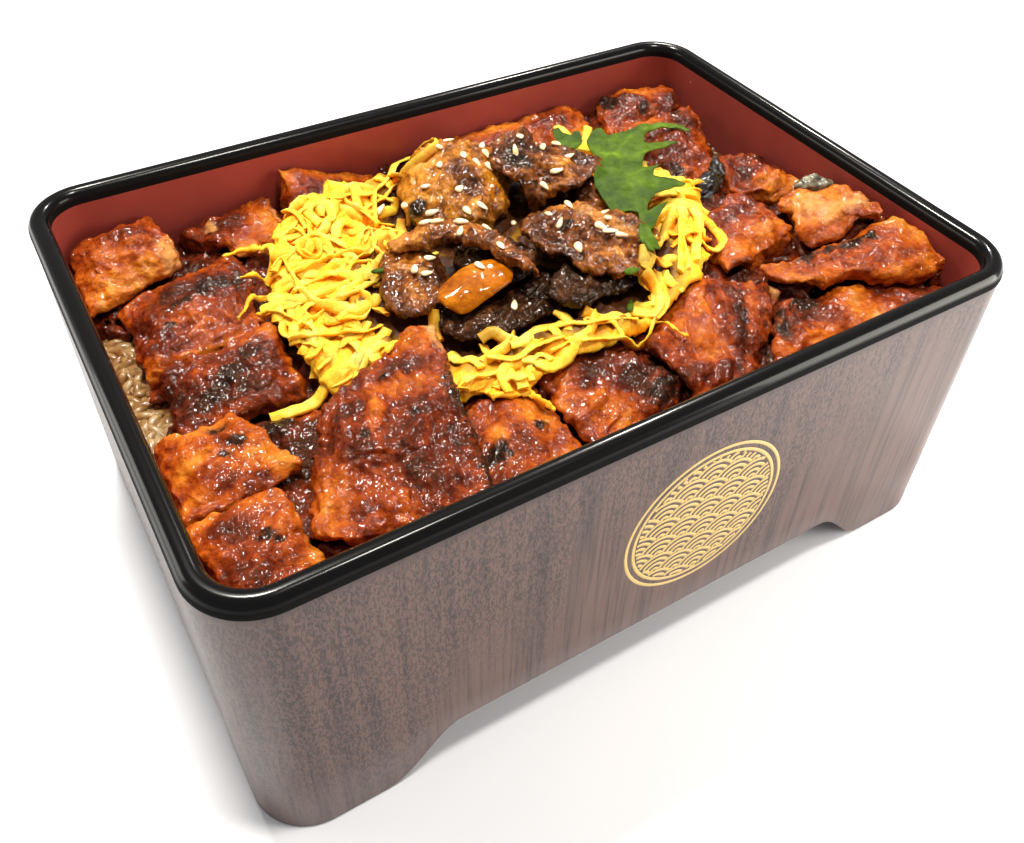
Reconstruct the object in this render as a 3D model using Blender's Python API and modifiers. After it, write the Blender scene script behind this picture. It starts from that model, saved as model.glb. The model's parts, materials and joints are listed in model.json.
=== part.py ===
"""Grilled eel on rice in its lacquered box, at real size.

The box is one moulding on four corner feet. In it lie a bed of rice, cut pieces of grilled eel round the edge, a mound
of shredded egg in the middle, pieces of simmered meat with sesame seeds on the egg, and a green leaf at their side.
Every separate piece is its own closed solid. Each is laid in turn on the ones already in the box: its underside
follows whatever lies below it, a small gap clear, so nothing overlaps and nothing floats.
Metres, +Z up, origin at the middle of the box on the surface that it stands on, front of the box at -Y.
"""

import math
import random

import bmesh
import bpy
from mathutils import Vector, noise
from mathutils.bvhtree import BVHTree

MM = 0.001

# The box
BOX_LENGTH = 182 * MM
BOX_DEPTH = 129 * MM
BOX_HEIGHT = 77 * MM
CORNER_RADIUS = 12.7 * MM
WALL = 4.4 * MM
RIM_ROUND = 2.0 * MM
FLOOR_UNDERSIDE = 20 * MM
FLOOR_TOP = 23 * MM
ARCH_RISE = 12.9 * MM
LONG_ARCH_HALF = 49.5 * MM
SHORT_ARCH_HALF = 25 * MM
ARCH_SLOPE_RUN = 17 * MM
CORNER_STEPS = 5

# How pieces of food lie on each other: the gap between them, how far their top and bottom edges are drawn in, how
# closely the heights below a piece are read, how high its waist is, and how round a lump is in plan
GAP = 0.35 * MM
EDGE = 0.8 * MM
SAMPLE_STEP = 0.8 * MM
WAIST = 0.6
ROUND = 0.85

# The rice: its level at the left and the right wall, its bumps, its grains, and the stretches of wall where they show
RICE_LEFT = 52.5 * MM
RICE_RIGHT = 57 * MM
RICE_BUMP = 1.2 * MM
RICE_BUMP_SIZE = 11 * MM
GRAIN_LENGTH = 6.0 * MM
GRAIN_WIDTH = 2.6 * MM
LEFT_GRAINS, LEFT_GRAINS_FROM, LEFT_GRAINS_TO = 18, -14 * MM, 40 * MM
RIGHT_GRAINS, RIGHT_GRAINS_FROM, RIGHT_GRAINS_TO = 4, 13 * MM, 34 * MM

# The cut pieces of eel: the unevenness of their outline and of their top, and how much the top's edge is rounded off
OUTLINE_BUMP, OUTLINE_BUMP_SIZE = 1.1 * MM, 9 * MM
TOP_BUMP, TOP_BUMP_SIZE = 0.9 * MM, 6 * MM
EDGE_DROP = 0.8 * MM
RIDGE = 0.5 * MM
STRIP_TAPER = 0.35
STRIP_CROWN = 1.4 * MM

# The shreds of egg and the sesame seeds
SHRED_WIDTH = 2.2 * MM
SHRED_STEP = 3.8 * MM
SHRED_SINK = 0.35
SEED_LENGTH = 3.4 * MM
SEED_WIDTH = 1.9 * MM
SEED_THICKNESS = 1.1 * MM

# The leaf
LEAF_THICKNESS = 0.5 * MM
LEAF_TOP = 70 * MM
LEAF_SLOPE = 0.08
LEAF_WAVE, LEAF_WAVE_SIZE = 1.5 * MM, 8 * MM
LEAF_VALLEY = 0.78
LEAF_MIDDLE = (42, 13)
# Each tooth of the leaf in mm: its angle from +X in degrees, and how far it reaches from the leaf's middle
LEAF_TEETH = ((3, 22), (19, 30), (44, 21), (72, 20), (106, 22), (134, 14), (163, 12))
LEAF_TEETH += ((200, 15), (239, 27), (262, 20), (298, 17), (330, 17))

# The mound of egg: its level and thickness, its middle in mm, and how far it reaches at every 30 degrees from +X
EGG_TOP = 62.5 * MM
EGG_THICKNESS = 12 * MM
EGG_CELLS = (13, 9)
EGG_MIDDLE = (2, 10)
EGG_REACH = (56, 52, 37, 38, 44, 50, 55, 55, 45, 41, 42, 47)
# Its two humps in mm: the middle in plan, the height over the rest, and the spread along x and y
EGG_HUMPS = ((-36, 18, 5, 16, 20), (46, 2, 3, 11, 14))
# Where the shreds of egg show, in mm: the middle in plan, the spread along x and y, and how many lie there
EGG_CLUMPS = ((-34, 17, 13, 22, 15), (-14, 44, 8, 3, 2), (4, -26, 20, 2, 4), (47, -1, 7, 11, 4))
GOLDEN_SHARE = 0.618

# How many seeds lie on each piece of meat
SEEDS = {
    "meat_back_long": 9,
    "meat_back_dark": 4,
    "meat_right_crusty": 8,
    "meat_left": 3,
    "meat_arch": 4,
    "meat_bean": 1,
}
SEED_TRIES = 400

CAVITY_HALF = (BOX_LENGTH / 2 - WALL, BOX_DEPTH / 2 - WALL)
CAVITY_RADIUS = CORNER_RADIUS - WALL
SKY = 0.2

laid = []


def colour(hex_code):
    """A linear colour from a hex code as seen on a screen."""
    channels = [int(hex_code[i : i + 2], 16) / 255 for i in (1, 3, 5)]
    return [c / 12.92 if c <= 0.04045 else ((c + 0.055) / 1.055) ** 2.4 for c in channels] + [1.0]


def material(name, hex_code, roughness):
    found = bpy.data.materials.get(name)
    if found:
        return found
    made = bpy.data.materials.new(name)
    made.use_nodes = True
    shader = made.node_tree.nodes["Principled BSDF"]
    shader.inputs["Base Color"].default_value = colour(hex_code)
    shader.inputs["Roughness"].default_value = roughness
    shader.inputs["Metallic"].default_value = 0.0
    return made


def add_object(name, mesh, finish, collection="grilled_eel_on_rice"):
    """Links a mesh as an object in the named collection, made on first use."""
    home = bpy.data.collections.get(collection)
    if home is None:
        home = bpy.data.collections.new(collection)
        bpy.context.scene.collection.children.link(home)
    thing = bpy.data.objects.new(name, mesh)
    home.objects.link(thing)
    if finish:
        mesh.materials.clear()
        mesh.materials.append(finish)
    return thing


def to_mesh(name, bm, triangles=False):
    mesh = bpy.data.meshes.new(name)
    if triangles:
        bmesh.ops.triangulate(bm, faces=bm.faces)
    bmesh.ops.recalc_face_normals(bm, faces=bm.faces)
    bm.to_mesh(mesh)
    bm.free()
    return mesh


def remember(thing):
    """Adds a finished piece to those that later pieces are laid on."""
    bm = bmesh.new()
    bm.from_mesh(thing.data)
    xs = [v.co.x for v in bm.verts]
    ys = [v.co.y for v in bm.verts]
    laid.append((thing.name, BVHTree.FromBMesh(bm), min(xs), max(xs), min(ys), max(ys)))
    bm.free()
    return thing


def forget(thing):
    laid[:] = [entry for entry in laid if entry[0] != thing.name]


def top_at(x, y):
    """The height and the name of the highest piece at a place in plan."""
    height, owner = FLOOR_TOP, "box"
    for name, tree, low_x, high_x, low_y, high_y in laid:
        if low_x <= x <= high_x and low_y <= y <= high_y:
            spot = tree.ray_cast(Vector((x, y, SKY)), Vector((0, 0, -1)))[0]
            if spot and spot.z > height:
                height, owner = spot.z, name
    return height, owner


def keep_inside(x, y, margin=GAP):
    """Moves a place in plan to the inside of the cavity's rounded outline."""
    half_x, half_y = CAVITY_HALF[0] - margin, CAVITY_HALF[1] - margin
    radius = CAVITY_RADIUS
    x, y = max(-half_x, min(half_x, x)), max(-half_y, min(half_y, y))
    over_x, over_y = abs(x) - (half_x - radius), abs(y) - (half_y - radius)
    reach = math.hypot(over_x, over_y)
    if over_x > 0 and over_y > 0 and reach > radius:
        x = math.copysign(half_x - radius + over_x * radius / reach, x)
        y = math.copysign(half_y - radius + over_y * radius / reach, y)
    return x, y


def wobble(x, y, seed, size, amount):
    """Smooth unevenness over the plan, for bumps of about the given size."""
    return amount * noise.noise(Vector((x / size, y / size, seed * 7.31)))


def stops(count, low=-1.0, high=1.0):
    return [low + (high - low) * i / count for i in range(count + 1)]


def sliced_block(xs, ys, zs):
    """A closed block from the first to the last stop along each axis, cut across at every stop between them."""
    bm = bmesh.new()
    bmesh.ops.create_cube(bm, size=1.0)
    for v in bm.verts:
        v.co = [s[0] if c < 0 else s[-1] for c, s in zip(v.co, (xs, ys, zs))]
    for axis, cuts in enumerate((xs, ys, zs)):
        across = Vector([float(i == axis) for i in range(3)])
        for stop in cuts[1:-1]:
            everything = bm.verts[:] + bm.edges[:] + bm.faces[:]
            bmesh.ops.bisect_plane(bm, geom=everything, dist=1e-6, plane_co=across * stop, plane_no=across)
    return bm


def rounded_block(length, depth, low, high, radius):
    """A block with rounded upright corners."""
    bm = sliced_block((-length / 2, length / 2), (-depth / 2, depth / 2), (low, high))
    upright = [e for e in bm.edges if abs(e.verts[0].co.z - e.verts[1].co.z) > (high - low) / 2]
    bmesh.ops.bevel(
        bm, geom=upright, offset=radius, offset_type="OFFSET", segments=CORNER_STEPS, profile=0.5, affect="EDGES"
    )
    return bm


def cutter(name, bm):
    thing = add_object(name, to_mesh(name, bm), None, "cutters")
    thing.hide_render = True
    thing.display_type = "WIRE"
    return thing


def evaluated_mesh(thing):
    depsgraph = bpy.context.evaluated_depsgraph_get()
    return bpy.data.meshes.new_from_object(thing.evaluated_get(depsgraph))


def arch_cutter(name, flat_half, through):
    """The opening between two feet: a flat top, then a smooth slope down to the ground on each side."""
    slope = stops(6, flat_half, flat_half + ARCH_SLOPE_RUN)
    xs = [-x for x in reversed(slope)] + slope
    bm = sliced_block(xs, (-through, through), (-ARCH_RISE, ARCH_RISE))
    for v in bm.verts:
        if v.co.z > 0:
            t = max(0.0, (abs(v.co.x) - flat_half) / ARCH_SLOPE_RUN)
            v.co.z = ARCH_RISE * (1 - t * t * (3 - 2 * t)) - 0.01 * MM
    return cutter(name, bm)


def make_box():
    """The moulded box: walls, floor, rounded rim, and a skirt cut by an arch on each side."""
    body = add_object(
        "box",
        to_mesh("box", rounded_block(BOX_LENGTH, BOX_DEPTH, 0, BOX_HEIGHT, CORNER_RADIUS)),
        material("box_lacquer", "#5E4A44", 0.35),
    )
    inner = [size - 2 * WALL for size in (BOX_LENGTH, BOX_DEPTH)]
    cuts = [
        cutter("cavity", rounded_block(*inner, FLOOR_TOP, BOX_HEIGHT * 1.2, CAVITY_RADIUS)),
        cutter("underside", rounded_block(*inner, -WALL, FLOOR_UNDERSIDE, CAVITY_RADIUS)),
        arch_cutter("long_arch", LONG_ARCH_HALF, BOX_DEPTH),
        arch_cutter("short_arch", SHORT_ARCH_HALF, BOX_LENGTH),
    ]
    cuts[3].rotation_euler.z = math.pi / 2
    for tool in cuts:
        cut = body.modifiers.new(tool.name, "BOOLEAN")
        cut.operation, cut.solver, cut.object = "DIFFERENCE", "EXACT", tool
    body.data = evaluated_mesh(body)
    body.modifiers.clear()
    round_rim(body)
    return body


def round_rim(body):
    """Rounds both edges of the rim into a bead."""
    bm = bmesh.new()
    bm.from_mesh(body.data)
    bmesh.ops.dissolve_limit(bm, angle_limit=math.radians(1), verts=bm.verts, edges=bm.edges)
    at_rim = [
        e
        for e in bm.edges
        if all(abs(v.co.z - BOX_HEIGHT) < 0.01 * MM for v in e.verts)
        and any(abs(f.normal.z) < 0.1 for f in e.link_faces)
    ]
    bmesh.ops.bevel(bm, geom=at_rim, offset=RIM_ROUND, segments=3, profile=0.5, affect="EDGES")
    bmesh.ops.triangulate(bm, faces=bm.faces)
    bm.to_mesh(body.data)
    bm.free()


def between(corners, a, b):
    """The point of a four-cornered patch at a (left -1 to right 1) and b (front -1 to back 1)."""
    back_left, back_right, front_right, front_left = [Vector(c) for c in corners]
    back = back_left.lerp(back_right, (a + 1) / 2)
    front = front_left.lerp(front_right, (a + 1) / 2)
    return front.lerp(back, (b + 1) / 2)


def squircle(a, b, roundness):
    """Pulls a square's corners in: 0 leaves the square, 1 makes a circle."""
    return a * math.sqrt(1 - roundness * b * b / 2), b * math.sqrt(1 - roundness * a * a / 2)


def highest_under(points):
    """The highest thing under a four-cornered face, read a little beyond its edges."""
    p, q, r, s = points
    long_side = max((q - p).length, (r - s).length, SAMPLE_STEP)
    short_side = max((s - p).length, (r - q).length, SAMPLE_STEP)
    beyond = EDGE + GAP
    highest = FLOOR_TOP
    for u in stops(math.ceil(long_side / SAMPLE_STEP) + 2, -beyond / long_side, 1 + beyond / long_side):
        for v in stops(math.ceil(short_side / SAMPLE_STEP) + 2, -beyond / short_side, 1 + beyond / short_side):
            spot = p.lerp(q, u).lerp(s.lerp(r, u), v)
            highest = max(highest, top_at(spot.x, spot.y)[0])
    return highest


def free_share(plan, a, b, limit):
    """How much of the way from the middle to a rim point is free of pieces that stand above the limit."""
    middle, rim = Vector(plan(0, 0)), Vector(plan(a, b))
    length = (rim - middle).length
    margin = 1.5 * GAP
    steps = max(1, math.ceil(2 * length / SAMPLE_STEP))
    for i in range(steps // 3, steps + 1):
        spot = middle.lerp(rim, i / steps) + (rim - middle).normalized() * margin
        if top_at(spot.x, spot.y)[0] > limit(a, b):
            return max(0.3, (i - 1) / steps)
    return 1.0


def smooth_share(plan, a, b, limit):
    """The free share averaged over nearby directions, so that a trimmed outline has no sudden steps."""
    shares = []
    for turn in (-0.35, 0, 0.35):
        x, y = a * math.cos(turn) - b * math.sin(turn), a * math.sin(turn) + b * math.cos(turn)
        out = max(abs(x), abs(y))
        shares.append(free_share(plan, x / out, y / out, limit))
    return sum(shares) / len(shares)


def lay(name, finish, plan, top, thickness, cells, trimmed=True, least=2.4 * MM):
    """Makes a piece from its plan and its top surface, and lays it on what is already there.

    plan gives (x, y) and top the height, both at (a, b) from -1 to 1 over the piece. The underside keeps to the
    thickness where it can and rests on what lies below. A trimmed piece is shortened where a neighbour stands in
    its way. One that isn't trimmed climbs over its neighbours.
    """
    bm = sliced_block(stops(cells[0]), stops(cells[1]), (-1, 0, 1))
    place = {v: tuple(round(c, 4) for c in v.co) for v in bm.verts}
    share = {}
    for a, b in {spot[:2] for spot in place.values()}:
        cut_back = trimmed and (a or b)
        share[a, b] = smooth_share(plan, a, b, lambda p, q: top(p, q) - least - GAP) if cut_back else 1.0
    centre = Vector(plan(0, 0))
    for v, (a, b, c) in place.items():
        spot = Vector(plan(a * share[a, b], b * share[a, b]))
        if c and (spot - centre).length > 2 * EDGE:
            spot -= (spot - centre).normalized() * EDGE * max(abs(a), abs(b))
        v.co.x, v.co.y = keep_inside(spot.x, spot.y, GAP if c == 0 else GAP + EDGE / 2)
    floor = {}
    for face in bm.faces:
        if all(place[v][2] == -1 for v in face.verts):
            highest = highest_under([Vector((v.co.x, v.co.y)) for v in face.verts])
            for v in face.verts:
                key = place[v][:2]
                floor[key] = max(floor.get(key, 0), highest)
    for v, (a, b, c) in place.items():
        wanted = top(a * share[a, b], b * share[a, b])
        low = max(floor[a, b] + GAP, wanted - thickness)
        high = max(wanted, low + least)
        v.co.z = (low, low + WAIST * (high - low), high)[int(c) + 1]
    return remember(add_object(name, to_mesh(name, bm, triangles=True), finish))


def cells_for(corners, step):
    back_left, back_right, front_right, front_left = [Vector(c[:2]) for c in corners]
    across = ((back_right - back_left).length + (front_right - front_left).length) / 2
    along = ((back_left - front_left).length + (back_right - front_right).length) / 2
    return max(3, round(across / step)), max(3, round(along / step))


def slab(name, finish, corners, thickness, crown, seed, roundness=0.15, trimmed=True, step=5.2, ridges=0):
    """A cut piece from the corners of its top face in mm: back left, back right, front right, front left.

    The crown is the height of its middle over its edges, and the step is about the size of its facets, both in mm.
    """
    corners = [tuple(value * MM for value in corner) for corner in corners]

    def plan(a, b):
        spot = between(corners, *squircle(a, b, roundness))
        shift = [wobble(spot.x, spot.y, seed + i, OUTLINE_BUMP_SIZE, OUTLINE_BUMP) for i in (1, 2)]
        return spot.x + shift[0], spot.y + shift[1]

    def top(a, b):
        spot = between(corners, a, b)
        height = spot.z + crown * MM * (1 - a * a) * (1 - b * b) - EDGE_DROP * max(abs(a), abs(b)) ** 6
        height += RIDGE * math.cos(math.pi * ridges * b) if ridges else 0
        return height + wobble(spot.x, spot.y, seed, TOP_BUMP_SIZE, TOP_BUMP)

    return lay(name, finish, plan, top, thickness * MM, cells_for(corners, step * MM), trimmed)


def strip(name, finish, path, width, thickness, seed, cells):
    """A bent strip along three points in mm: start, middle and end of its centre line, with the top's height."""
    start, middle, end = [Vector(p) * MM for p in path]

    def centre(a):
        t = (a + 1) / 2
        return start * (1 - t) * (1 - 2 * t) + middle * 4 * t * (1 - t) + end * t * (2 * t - 1)

    def plan(a, b):
        along = (centre(a + 0.05) - centre(a - 0.05)).to_2d().normalized()
        half = width * MM / 2 * (1 - STRIP_TAPER * a**4)
        spot = centre(a).to_2d() + Vector((-along.y, along.x)) * b * half
        return spot.x, spot.y

    def top(a, b):
        spot = centre(a)
        return spot.z - STRIP_CROWN * b * b + wobble(spot.x, spot.y, seed, TOP_BUMP_SIZE, TOP_BUMP / 2)

    return lay(name, finish, plan, top, thickness * MM, cells, trimmed=False)


def pebble(name, finish, at, size, turn, top, thickness, seed, crown=3.2, trimmed=False, step=4.8):
    """A rounded lump in mm: where its middle is, how long and wide, how it is turned, and how high its top is."""
    half = Vector(size) / 2
    turned = math.radians(turn)
    along, across = Vector((math.cos(turned), math.sin(turned))), Vector((-math.sin(turned), math.cos(turned)))
    corners = []
    for a, b in ((-1, 1), (1, 1), (1, -1), (-1, -1)):
        spot = Vector(at) + along * a * half.x + across * b * half.y
        corners.append((spot.x, spot.y, top - crown))
    return slab(name, finish, corners, thickness, crown, seed, ROUND, trimmed, step)


def ellipsoid(name, centre, size, turn, tilt, sides=5, rings=4):
    """A grain or a seed: a small ball stretched to its length, width and height."""
    bm = bmesh.new()
    bmesh.ops.create_uvsphere(bm, u_segments=sides, v_segments=rings, radius=0.5)
    for v in bm.verts:
        v.co = Vector((v.co.z * size[0], v.co.y * size[1], -v.co.x * size[2]))
        v.co.rotate(tilt)
    turned = Vector((math.cos(turn), math.sin(turn)))
    for v in bm.verts:
        x, y = v.co.x, v.co.y
        v.co.x, v.co.y = x * turned.x - y * turned.y, x * turned.y + y * turned.x
        v.co += centre
    return add_object(name, to_mesh(name, bm, triangles=True), None, "fused")


def keep_largest(mesh):
    """Drops loose scraps and the walls of sealed hollows, and leaves the one outer body."""
    bm = bmesh.new()
    bm.from_mesh(mesh)
    left, bodies = set(bm.verts), []
    while left:
        body, queue = set(), [left.pop()]
        while queue:
            v = queue.pop()
            body.add(v)
            for e in v.link_edges:
                other = e.other_vert(v)
                if other in left:
                    left.remove(other)
                    queue.append(other)
        bodies.append(body)
    largest = max(bodies, key=len)
    bmesh.ops.delete(bm, geom=[v for v in bm.verts if v not in largest], context="VERTS")
    bmesh.ops.triangulate(bm, faces=bm.faces)
    bm.to_mesh(mesh)
    bm.free()


def fuse(core, solver="EXACT"):
    """Joins everything in the collection of loose pieces to the core, and clears that collection."""
    loose = bpy.data.collections["fused"]
    union = core.modifiers.new("fuse", "BOOLEAN")
    union.operation, union.operand_type, union.collection, union.solver = "UNION", "COLLECTION", loose, solver
    finish = core.data.materials[0]
    core.data = evaluated_mesh(core)
    core.modifiers.clear()
    core.data.materials.clear()
    core.data.materials.append(finish)
    for thing in list(loose.objects):
        bpy.data.objects.remove(thing)
    keep_largest(core.data)
    forget(core)
    return remember(core)


def make_rice(draw):
    """The bed of rice: a bumpy core, with grains fused on along the walls, where it shows."""
    half_x, half_y = CAVITY_HALF
    bm = sliced_block(stops(15), stops(11), (FLOOR_TOP + GAP, BOX_HEIGHT))
    for v in bm.verts:
        v.co.x, v.co.y = keep_inside(v.co.x * half_x, v.co.y * half_y)
        if v.co.z > BOX_HEIGHT / 2:
            v.co.z = RICE_LEFT + (RICE_RIGHT - RICE_LEFT) * (v.co.x / half_x + 1) / 2
            v.co.z += wobble(v.co.x, v.co.y, 3, RICE_BUMP_SIZE, RICE_BUMP)
    under = [f for f in bm.faces if all(v.co.z < FLOOR_TOP + 2 * GAP for v in f.verts)]
    edges = {e for f in under for e in f.edges}
    bmesh.ops.dissolve_limit(bm, angle_limit=math.radians(1), verts=[], edges=list(edges))
    core = remember(add_object("rice", to_mesh("rice", bm, triangles=True), material("rice", "#D8C3A0", 0.5)))
    inset = half_x - 0.75 * GRAIN_LENGTH / 2
    for i, y in enumerate(stops(LEFT_GRAINS - 1, LEFT_GRAINS_FROM, LEFT_GRAINS_TO)):
        scatter_grain(f"left_grain_{i}", draw, -inset + draw.uniform(0, 0.75) * GRAIN_LENGTH, y)
    for i, y in enumerate(stops(RIGHT_GRAINS - 1, RIGHT_GRAINS_FROM, RIGHT_GRAINS_TO)):
        scatter_grain(f"right_grain_{i}", draw, inset - draw.uniform(0, 0.4) * GRAIN_LENGTH, y)
    return fuse(core)


def scatter_grain(name, draw, x, y):
    x, y = keep_inside(x, y, GRAIN_LENGTH / 2 + GAP)
    height = top_at(x, y)[0]
    tilt = Vector((1, 0, draw.uniform(-0.3, 0.3))).normalized().to_track_quat("X", "Z")
    centre = Vector((x, y, height + 0.1 * GRAIN_WIDTH))
    ellipsoid(name, centre, (GRAIN_LENGTH, GRAIN_WIDTH, GRAIN_WIDTH), draw.uniform(0, math.pi), tilt)


def lay_eel_round_the_egg():
    """The pieces of grilled eel that lie on the rice round the edge, back left first."""
    grilled = material("eel_glaze", "#A4481C", 0.3)

    def eel(name, corners, crown=1.6, thickness=10, **more):
        slab("eel_" + name, grilled, corners, thickness, crown, seed=len(laid), **more)

    eel("under_front_left", ((-68, -8, 58), (-48, -9, 58), (-48, -30, 58), (-66, -30, 58)), 0.5, 6)
    eel("left_large", ((-80, 39, 61), (-49, 45, 62.5), (-53, 13, 62), (-80.5, 12, 61)), 2.4, ridges=1)
    eel("left_lower", ((-80, 14, 61), (-51, 14, 62), (-53.5, -7, 61.5), (-80, -9, 60)), 1.4)
    eel("back_left", ((-85, 58, 67), (-64, 59, 69), (-61, 44, 64), (-86, 36, 60)), 2.6, roundness=0.3)
    eel("back_second", ((-60, 58, 62), (-36, 59.5, 64), (-35.5, 37, 62), (-52, 36, 61)))
    eel("front_left_upper", ((-86, -6, 61), (-68, -3, 62.5), (-61, -28, 62), (-86, -30, 61)), 1.4)
    eel("front_left_corner", ((-86, -29, 62), (-68, -29, 62), (-66, -60, 60), (-86, -60, 60)), 1.4)
    eel("back_peaked", ((-34, 59.5, 71), (-7, 59.5, 62), (-8, 42, 60), (-36.5, 41, 64)), 1.0)
    eel("back_charred", ((-9, 59.5, 63), (15, 59.5, 65), (15, 48, 63), (-9.5, 48, 62)), 1.2, 8)
    eel("back_centre", ((14, 59.5, 67), (57, 59.5, 66), (54, 42, 63), (14, 42, 63)), 2.0)
    eel("back_right", ((62, 59.5, 67), (84, 58, 67), (86, 40, 66), (55, 41, 64)), 2.2, ridges=1)
    eel("back_right_lower", ((54, 44, 65), (86, 43, 66), (73, 13, 65), (54, 11, 63)), 2.2, ridges=2)
    eel("right", ((70, 17, 65), (86, 15, 66), (84.5, -8, 66), (67, 0, 65)), 1.8)
    eel("front_centre_left", ((-31, -25, 61), (-14, -22, 62), (-11, -60, 60), (-45, -60, 60)), 1.4)
    eel("front_curled", ((-15, -24, 62), (7, -25, 64), (16, -46, 63), (-12, -60, 60)), 2.2, roundness=0.3)
    eel("front_ridged", ((8, -34, 63), (35, -16, 65), (52, -34, 66), (12, -62, 60)), 1.6, ridges=3)
    eel("right_diagonal", ((45, -4, 64), (68, 2, 66), (69.5, -20, 67), (42, -24, 64)), 1.4)
    eel("front_right", ((44, -37, 65), (80, -45, 66), (86, -60, 63), (24, -60, 61)), 1.8, ridges=2)
    eel("right_charred", ((46, -27, 66), (86, -33, 73), (86, -50, 71), (49, -43, 67)), 1.8)
    eel("right_wing", ((64, -3, 67), (86, -18, 74), (83, -34, 72), (62, -31, 67)), 1.4, 8, roundness=0.5)


def lay_dark_bits():
    """The scrap of black skin at the right of the egg and the grey scrap of skin near the right wall."""
    black, grey = material("charred_skin", "#241C1A", 0.25), material("grey_skin", "#6B6655", 0.3)
    slab("skin_black", black, ((62, 17, 63), (73, 17, 63), (71, 6, 62), (58, 3, 61)), 6, 1.2, 41, 0.7)
    slab("skin_grey", grey, ((76, -7, 71), (85, -8, 72), (85.5, -16, 72), (76, -14, 70)), 6, 0.8, 42, 0.7)


def shred_path(draw, x, y, heading, length, curl):
    """The places in plan along a shred that wanders and curls, with its middle near the given place."""
    points = []
    x, y = x - length * MM / 2 * math.cos(heading), y - length * MM / 2 * math.sin(heading)
    bend = draw.uniform(-curl, curl)
    for _ in range(int(length * MM / SHRED_STEP) + 1):
        points.append(keep_inside(x, y, 2 * SHRED_WIDTH))
        heading += bend + draw.uniform(-0.35, 0.35)
        x, y = x + SHRED_STEP * math.cos(heading), y + SHRED_STEP * math.sin(heading)
    return points


def shred_height(points, i):
    """The height of a shred's centre line at a point: sunk a little into the mound and clear of everything else."""
    radius = SHRED_WIDTH / 2
    here = Vector(points[i])
    beside = [Vector(points[j]) for j in (max(i - 1, 0), min(i + 1, len(points) - 1))]
    spots = [here.lerp(other, share) for other in beside for share in (0, 0.3, 0.6)]
    turns = [Vector((math.cos(t), math.sin(t))) * 1.3 * radius for t in stops(6, 0, math.tau)]
    around = [top_at(spot.x + turn.x, spot.y + turn.y) for spot in spots for turn in turns]
    clear = max([height for height, owner in around if owner != "egg"], default=0) + radius + GAP
    height, owner = top_at(here.x, here.y)
    return max(clear, height + SHRED_SINK * radius) if owner == "egg" else clear


def lay_shred(name, points):
    """A shred of egg as a thin rod, for fusing to the mound."""
    radius = SHRED_WIDTH / 2
    curve = bpy.data.curves.new(name, "CURVE")
    curve.dimensions = "3D"
    curve.bevel_depth = radius
    curve.bevel_resolution = 0
    curve.use_fill_caps = True
    line = curve.splines.new("POLY")
    line.points.add(len(points) - 1)
    for i, (x, y) in enumerate(points):
        line.points[i].co = (x, y, shred_height(points, i), 1)
    rod = add_object(name, curve, None, "fused")
    bm = bmesh.new()
    bm.from_mesh(evaluated_mesh(rod))
    bmesh.ops.remove_doubles(bm, verts=bm.verts, dist=0.01 * MM)
    bpy.data.objects.remove(rod)
    return add_object(name, to_mesh(name, bm, triangles=True), None, "fused")


def egg_reach(angle):
    """How far the mound of egg reaches from its middle in a direction."""
    place = angle / math.tau % 1 * len(EGG_REACH)
    share = (1 - math.cos(math.pi * (place % 1))) / 2
    here, after = int(place) % len(EGG_REACH), (int(place) + 1) % len(EGG_REACH)
    return (EGG_REACH[here] * (1 - share) + EGG_REACH[after] * share) * MM


def make_egg(draw):
    """The mound of shredded egg: a soft core, with the shreds that show fused on round the meat."""

    def plan(a, b):
        x, y = squircle(a, b, ROUND)
        reach = egg_reach(math.atan2(y, x))
        return EGG_MIDDLE[0] * MM + x * reach, EGG_MIDDLE[1] * MM + y * reach

    def top(a, b):
        x, y = plan(a, b)
        height = EGG_TOP - 3.5 * MM * max(abs(a), abs(b)) ** 4 + wobble(x, y, 5, TOP_BUMP_SIZE, TOP_BUMP)
        for hump_x, hump_y, rise, spread_x, spread_y in EGG_HUMPS:
            away = ((x / MM - hump_x) / spread_x) ** 2 + ((y / MM - hump_y) / spread_y) ** 2
            height += rise * MM * math.exp(-away)
        return height

    finish = material("egg", "#F5CE32", 0.45)
    core = lay("egg", finish, plan, top, EGG_THICKNESS, EGG_CELLS, trimmed=False, least=2.0 * MM)
    number = 0
    for middle_x, middle_y, spread_x, spread_y, count in EGG_CLUMPS:
        for i in range(count):
            x = (middle_x + spread_x * (2 * (i * GOLDEN_SHARE % 1) - 1)) * MM
            y = (middle_y + spread_y * (2 * (i + 0.5) / count - 1)) * MM
            heading = draw.uniform(-0.5, 0.5) + (0 if spread_x > spread_y else draw.uniform(0, math.pi))
            lay_shred(f"shred_{number}", shred_path(draw, x, y, heading, draw.uniform(15, 24), 0.5))
            number += 1
    return fuse(core)


def lay_eel_on_the_egg():
    """The large piece at the front left, whose tip lies over the egg."""
    grilled = material("eel_glaze", "#A4481C", 0.3)
    corners = ((-56, -17, 65), (-24, -6, 68), (-36, -60, 62), (-69, -46, 62))
    slab("eel_front_left_large", grilled, corners, 10, 2.4, 31, 0.25, trimmed=False, ridges=2)


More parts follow.
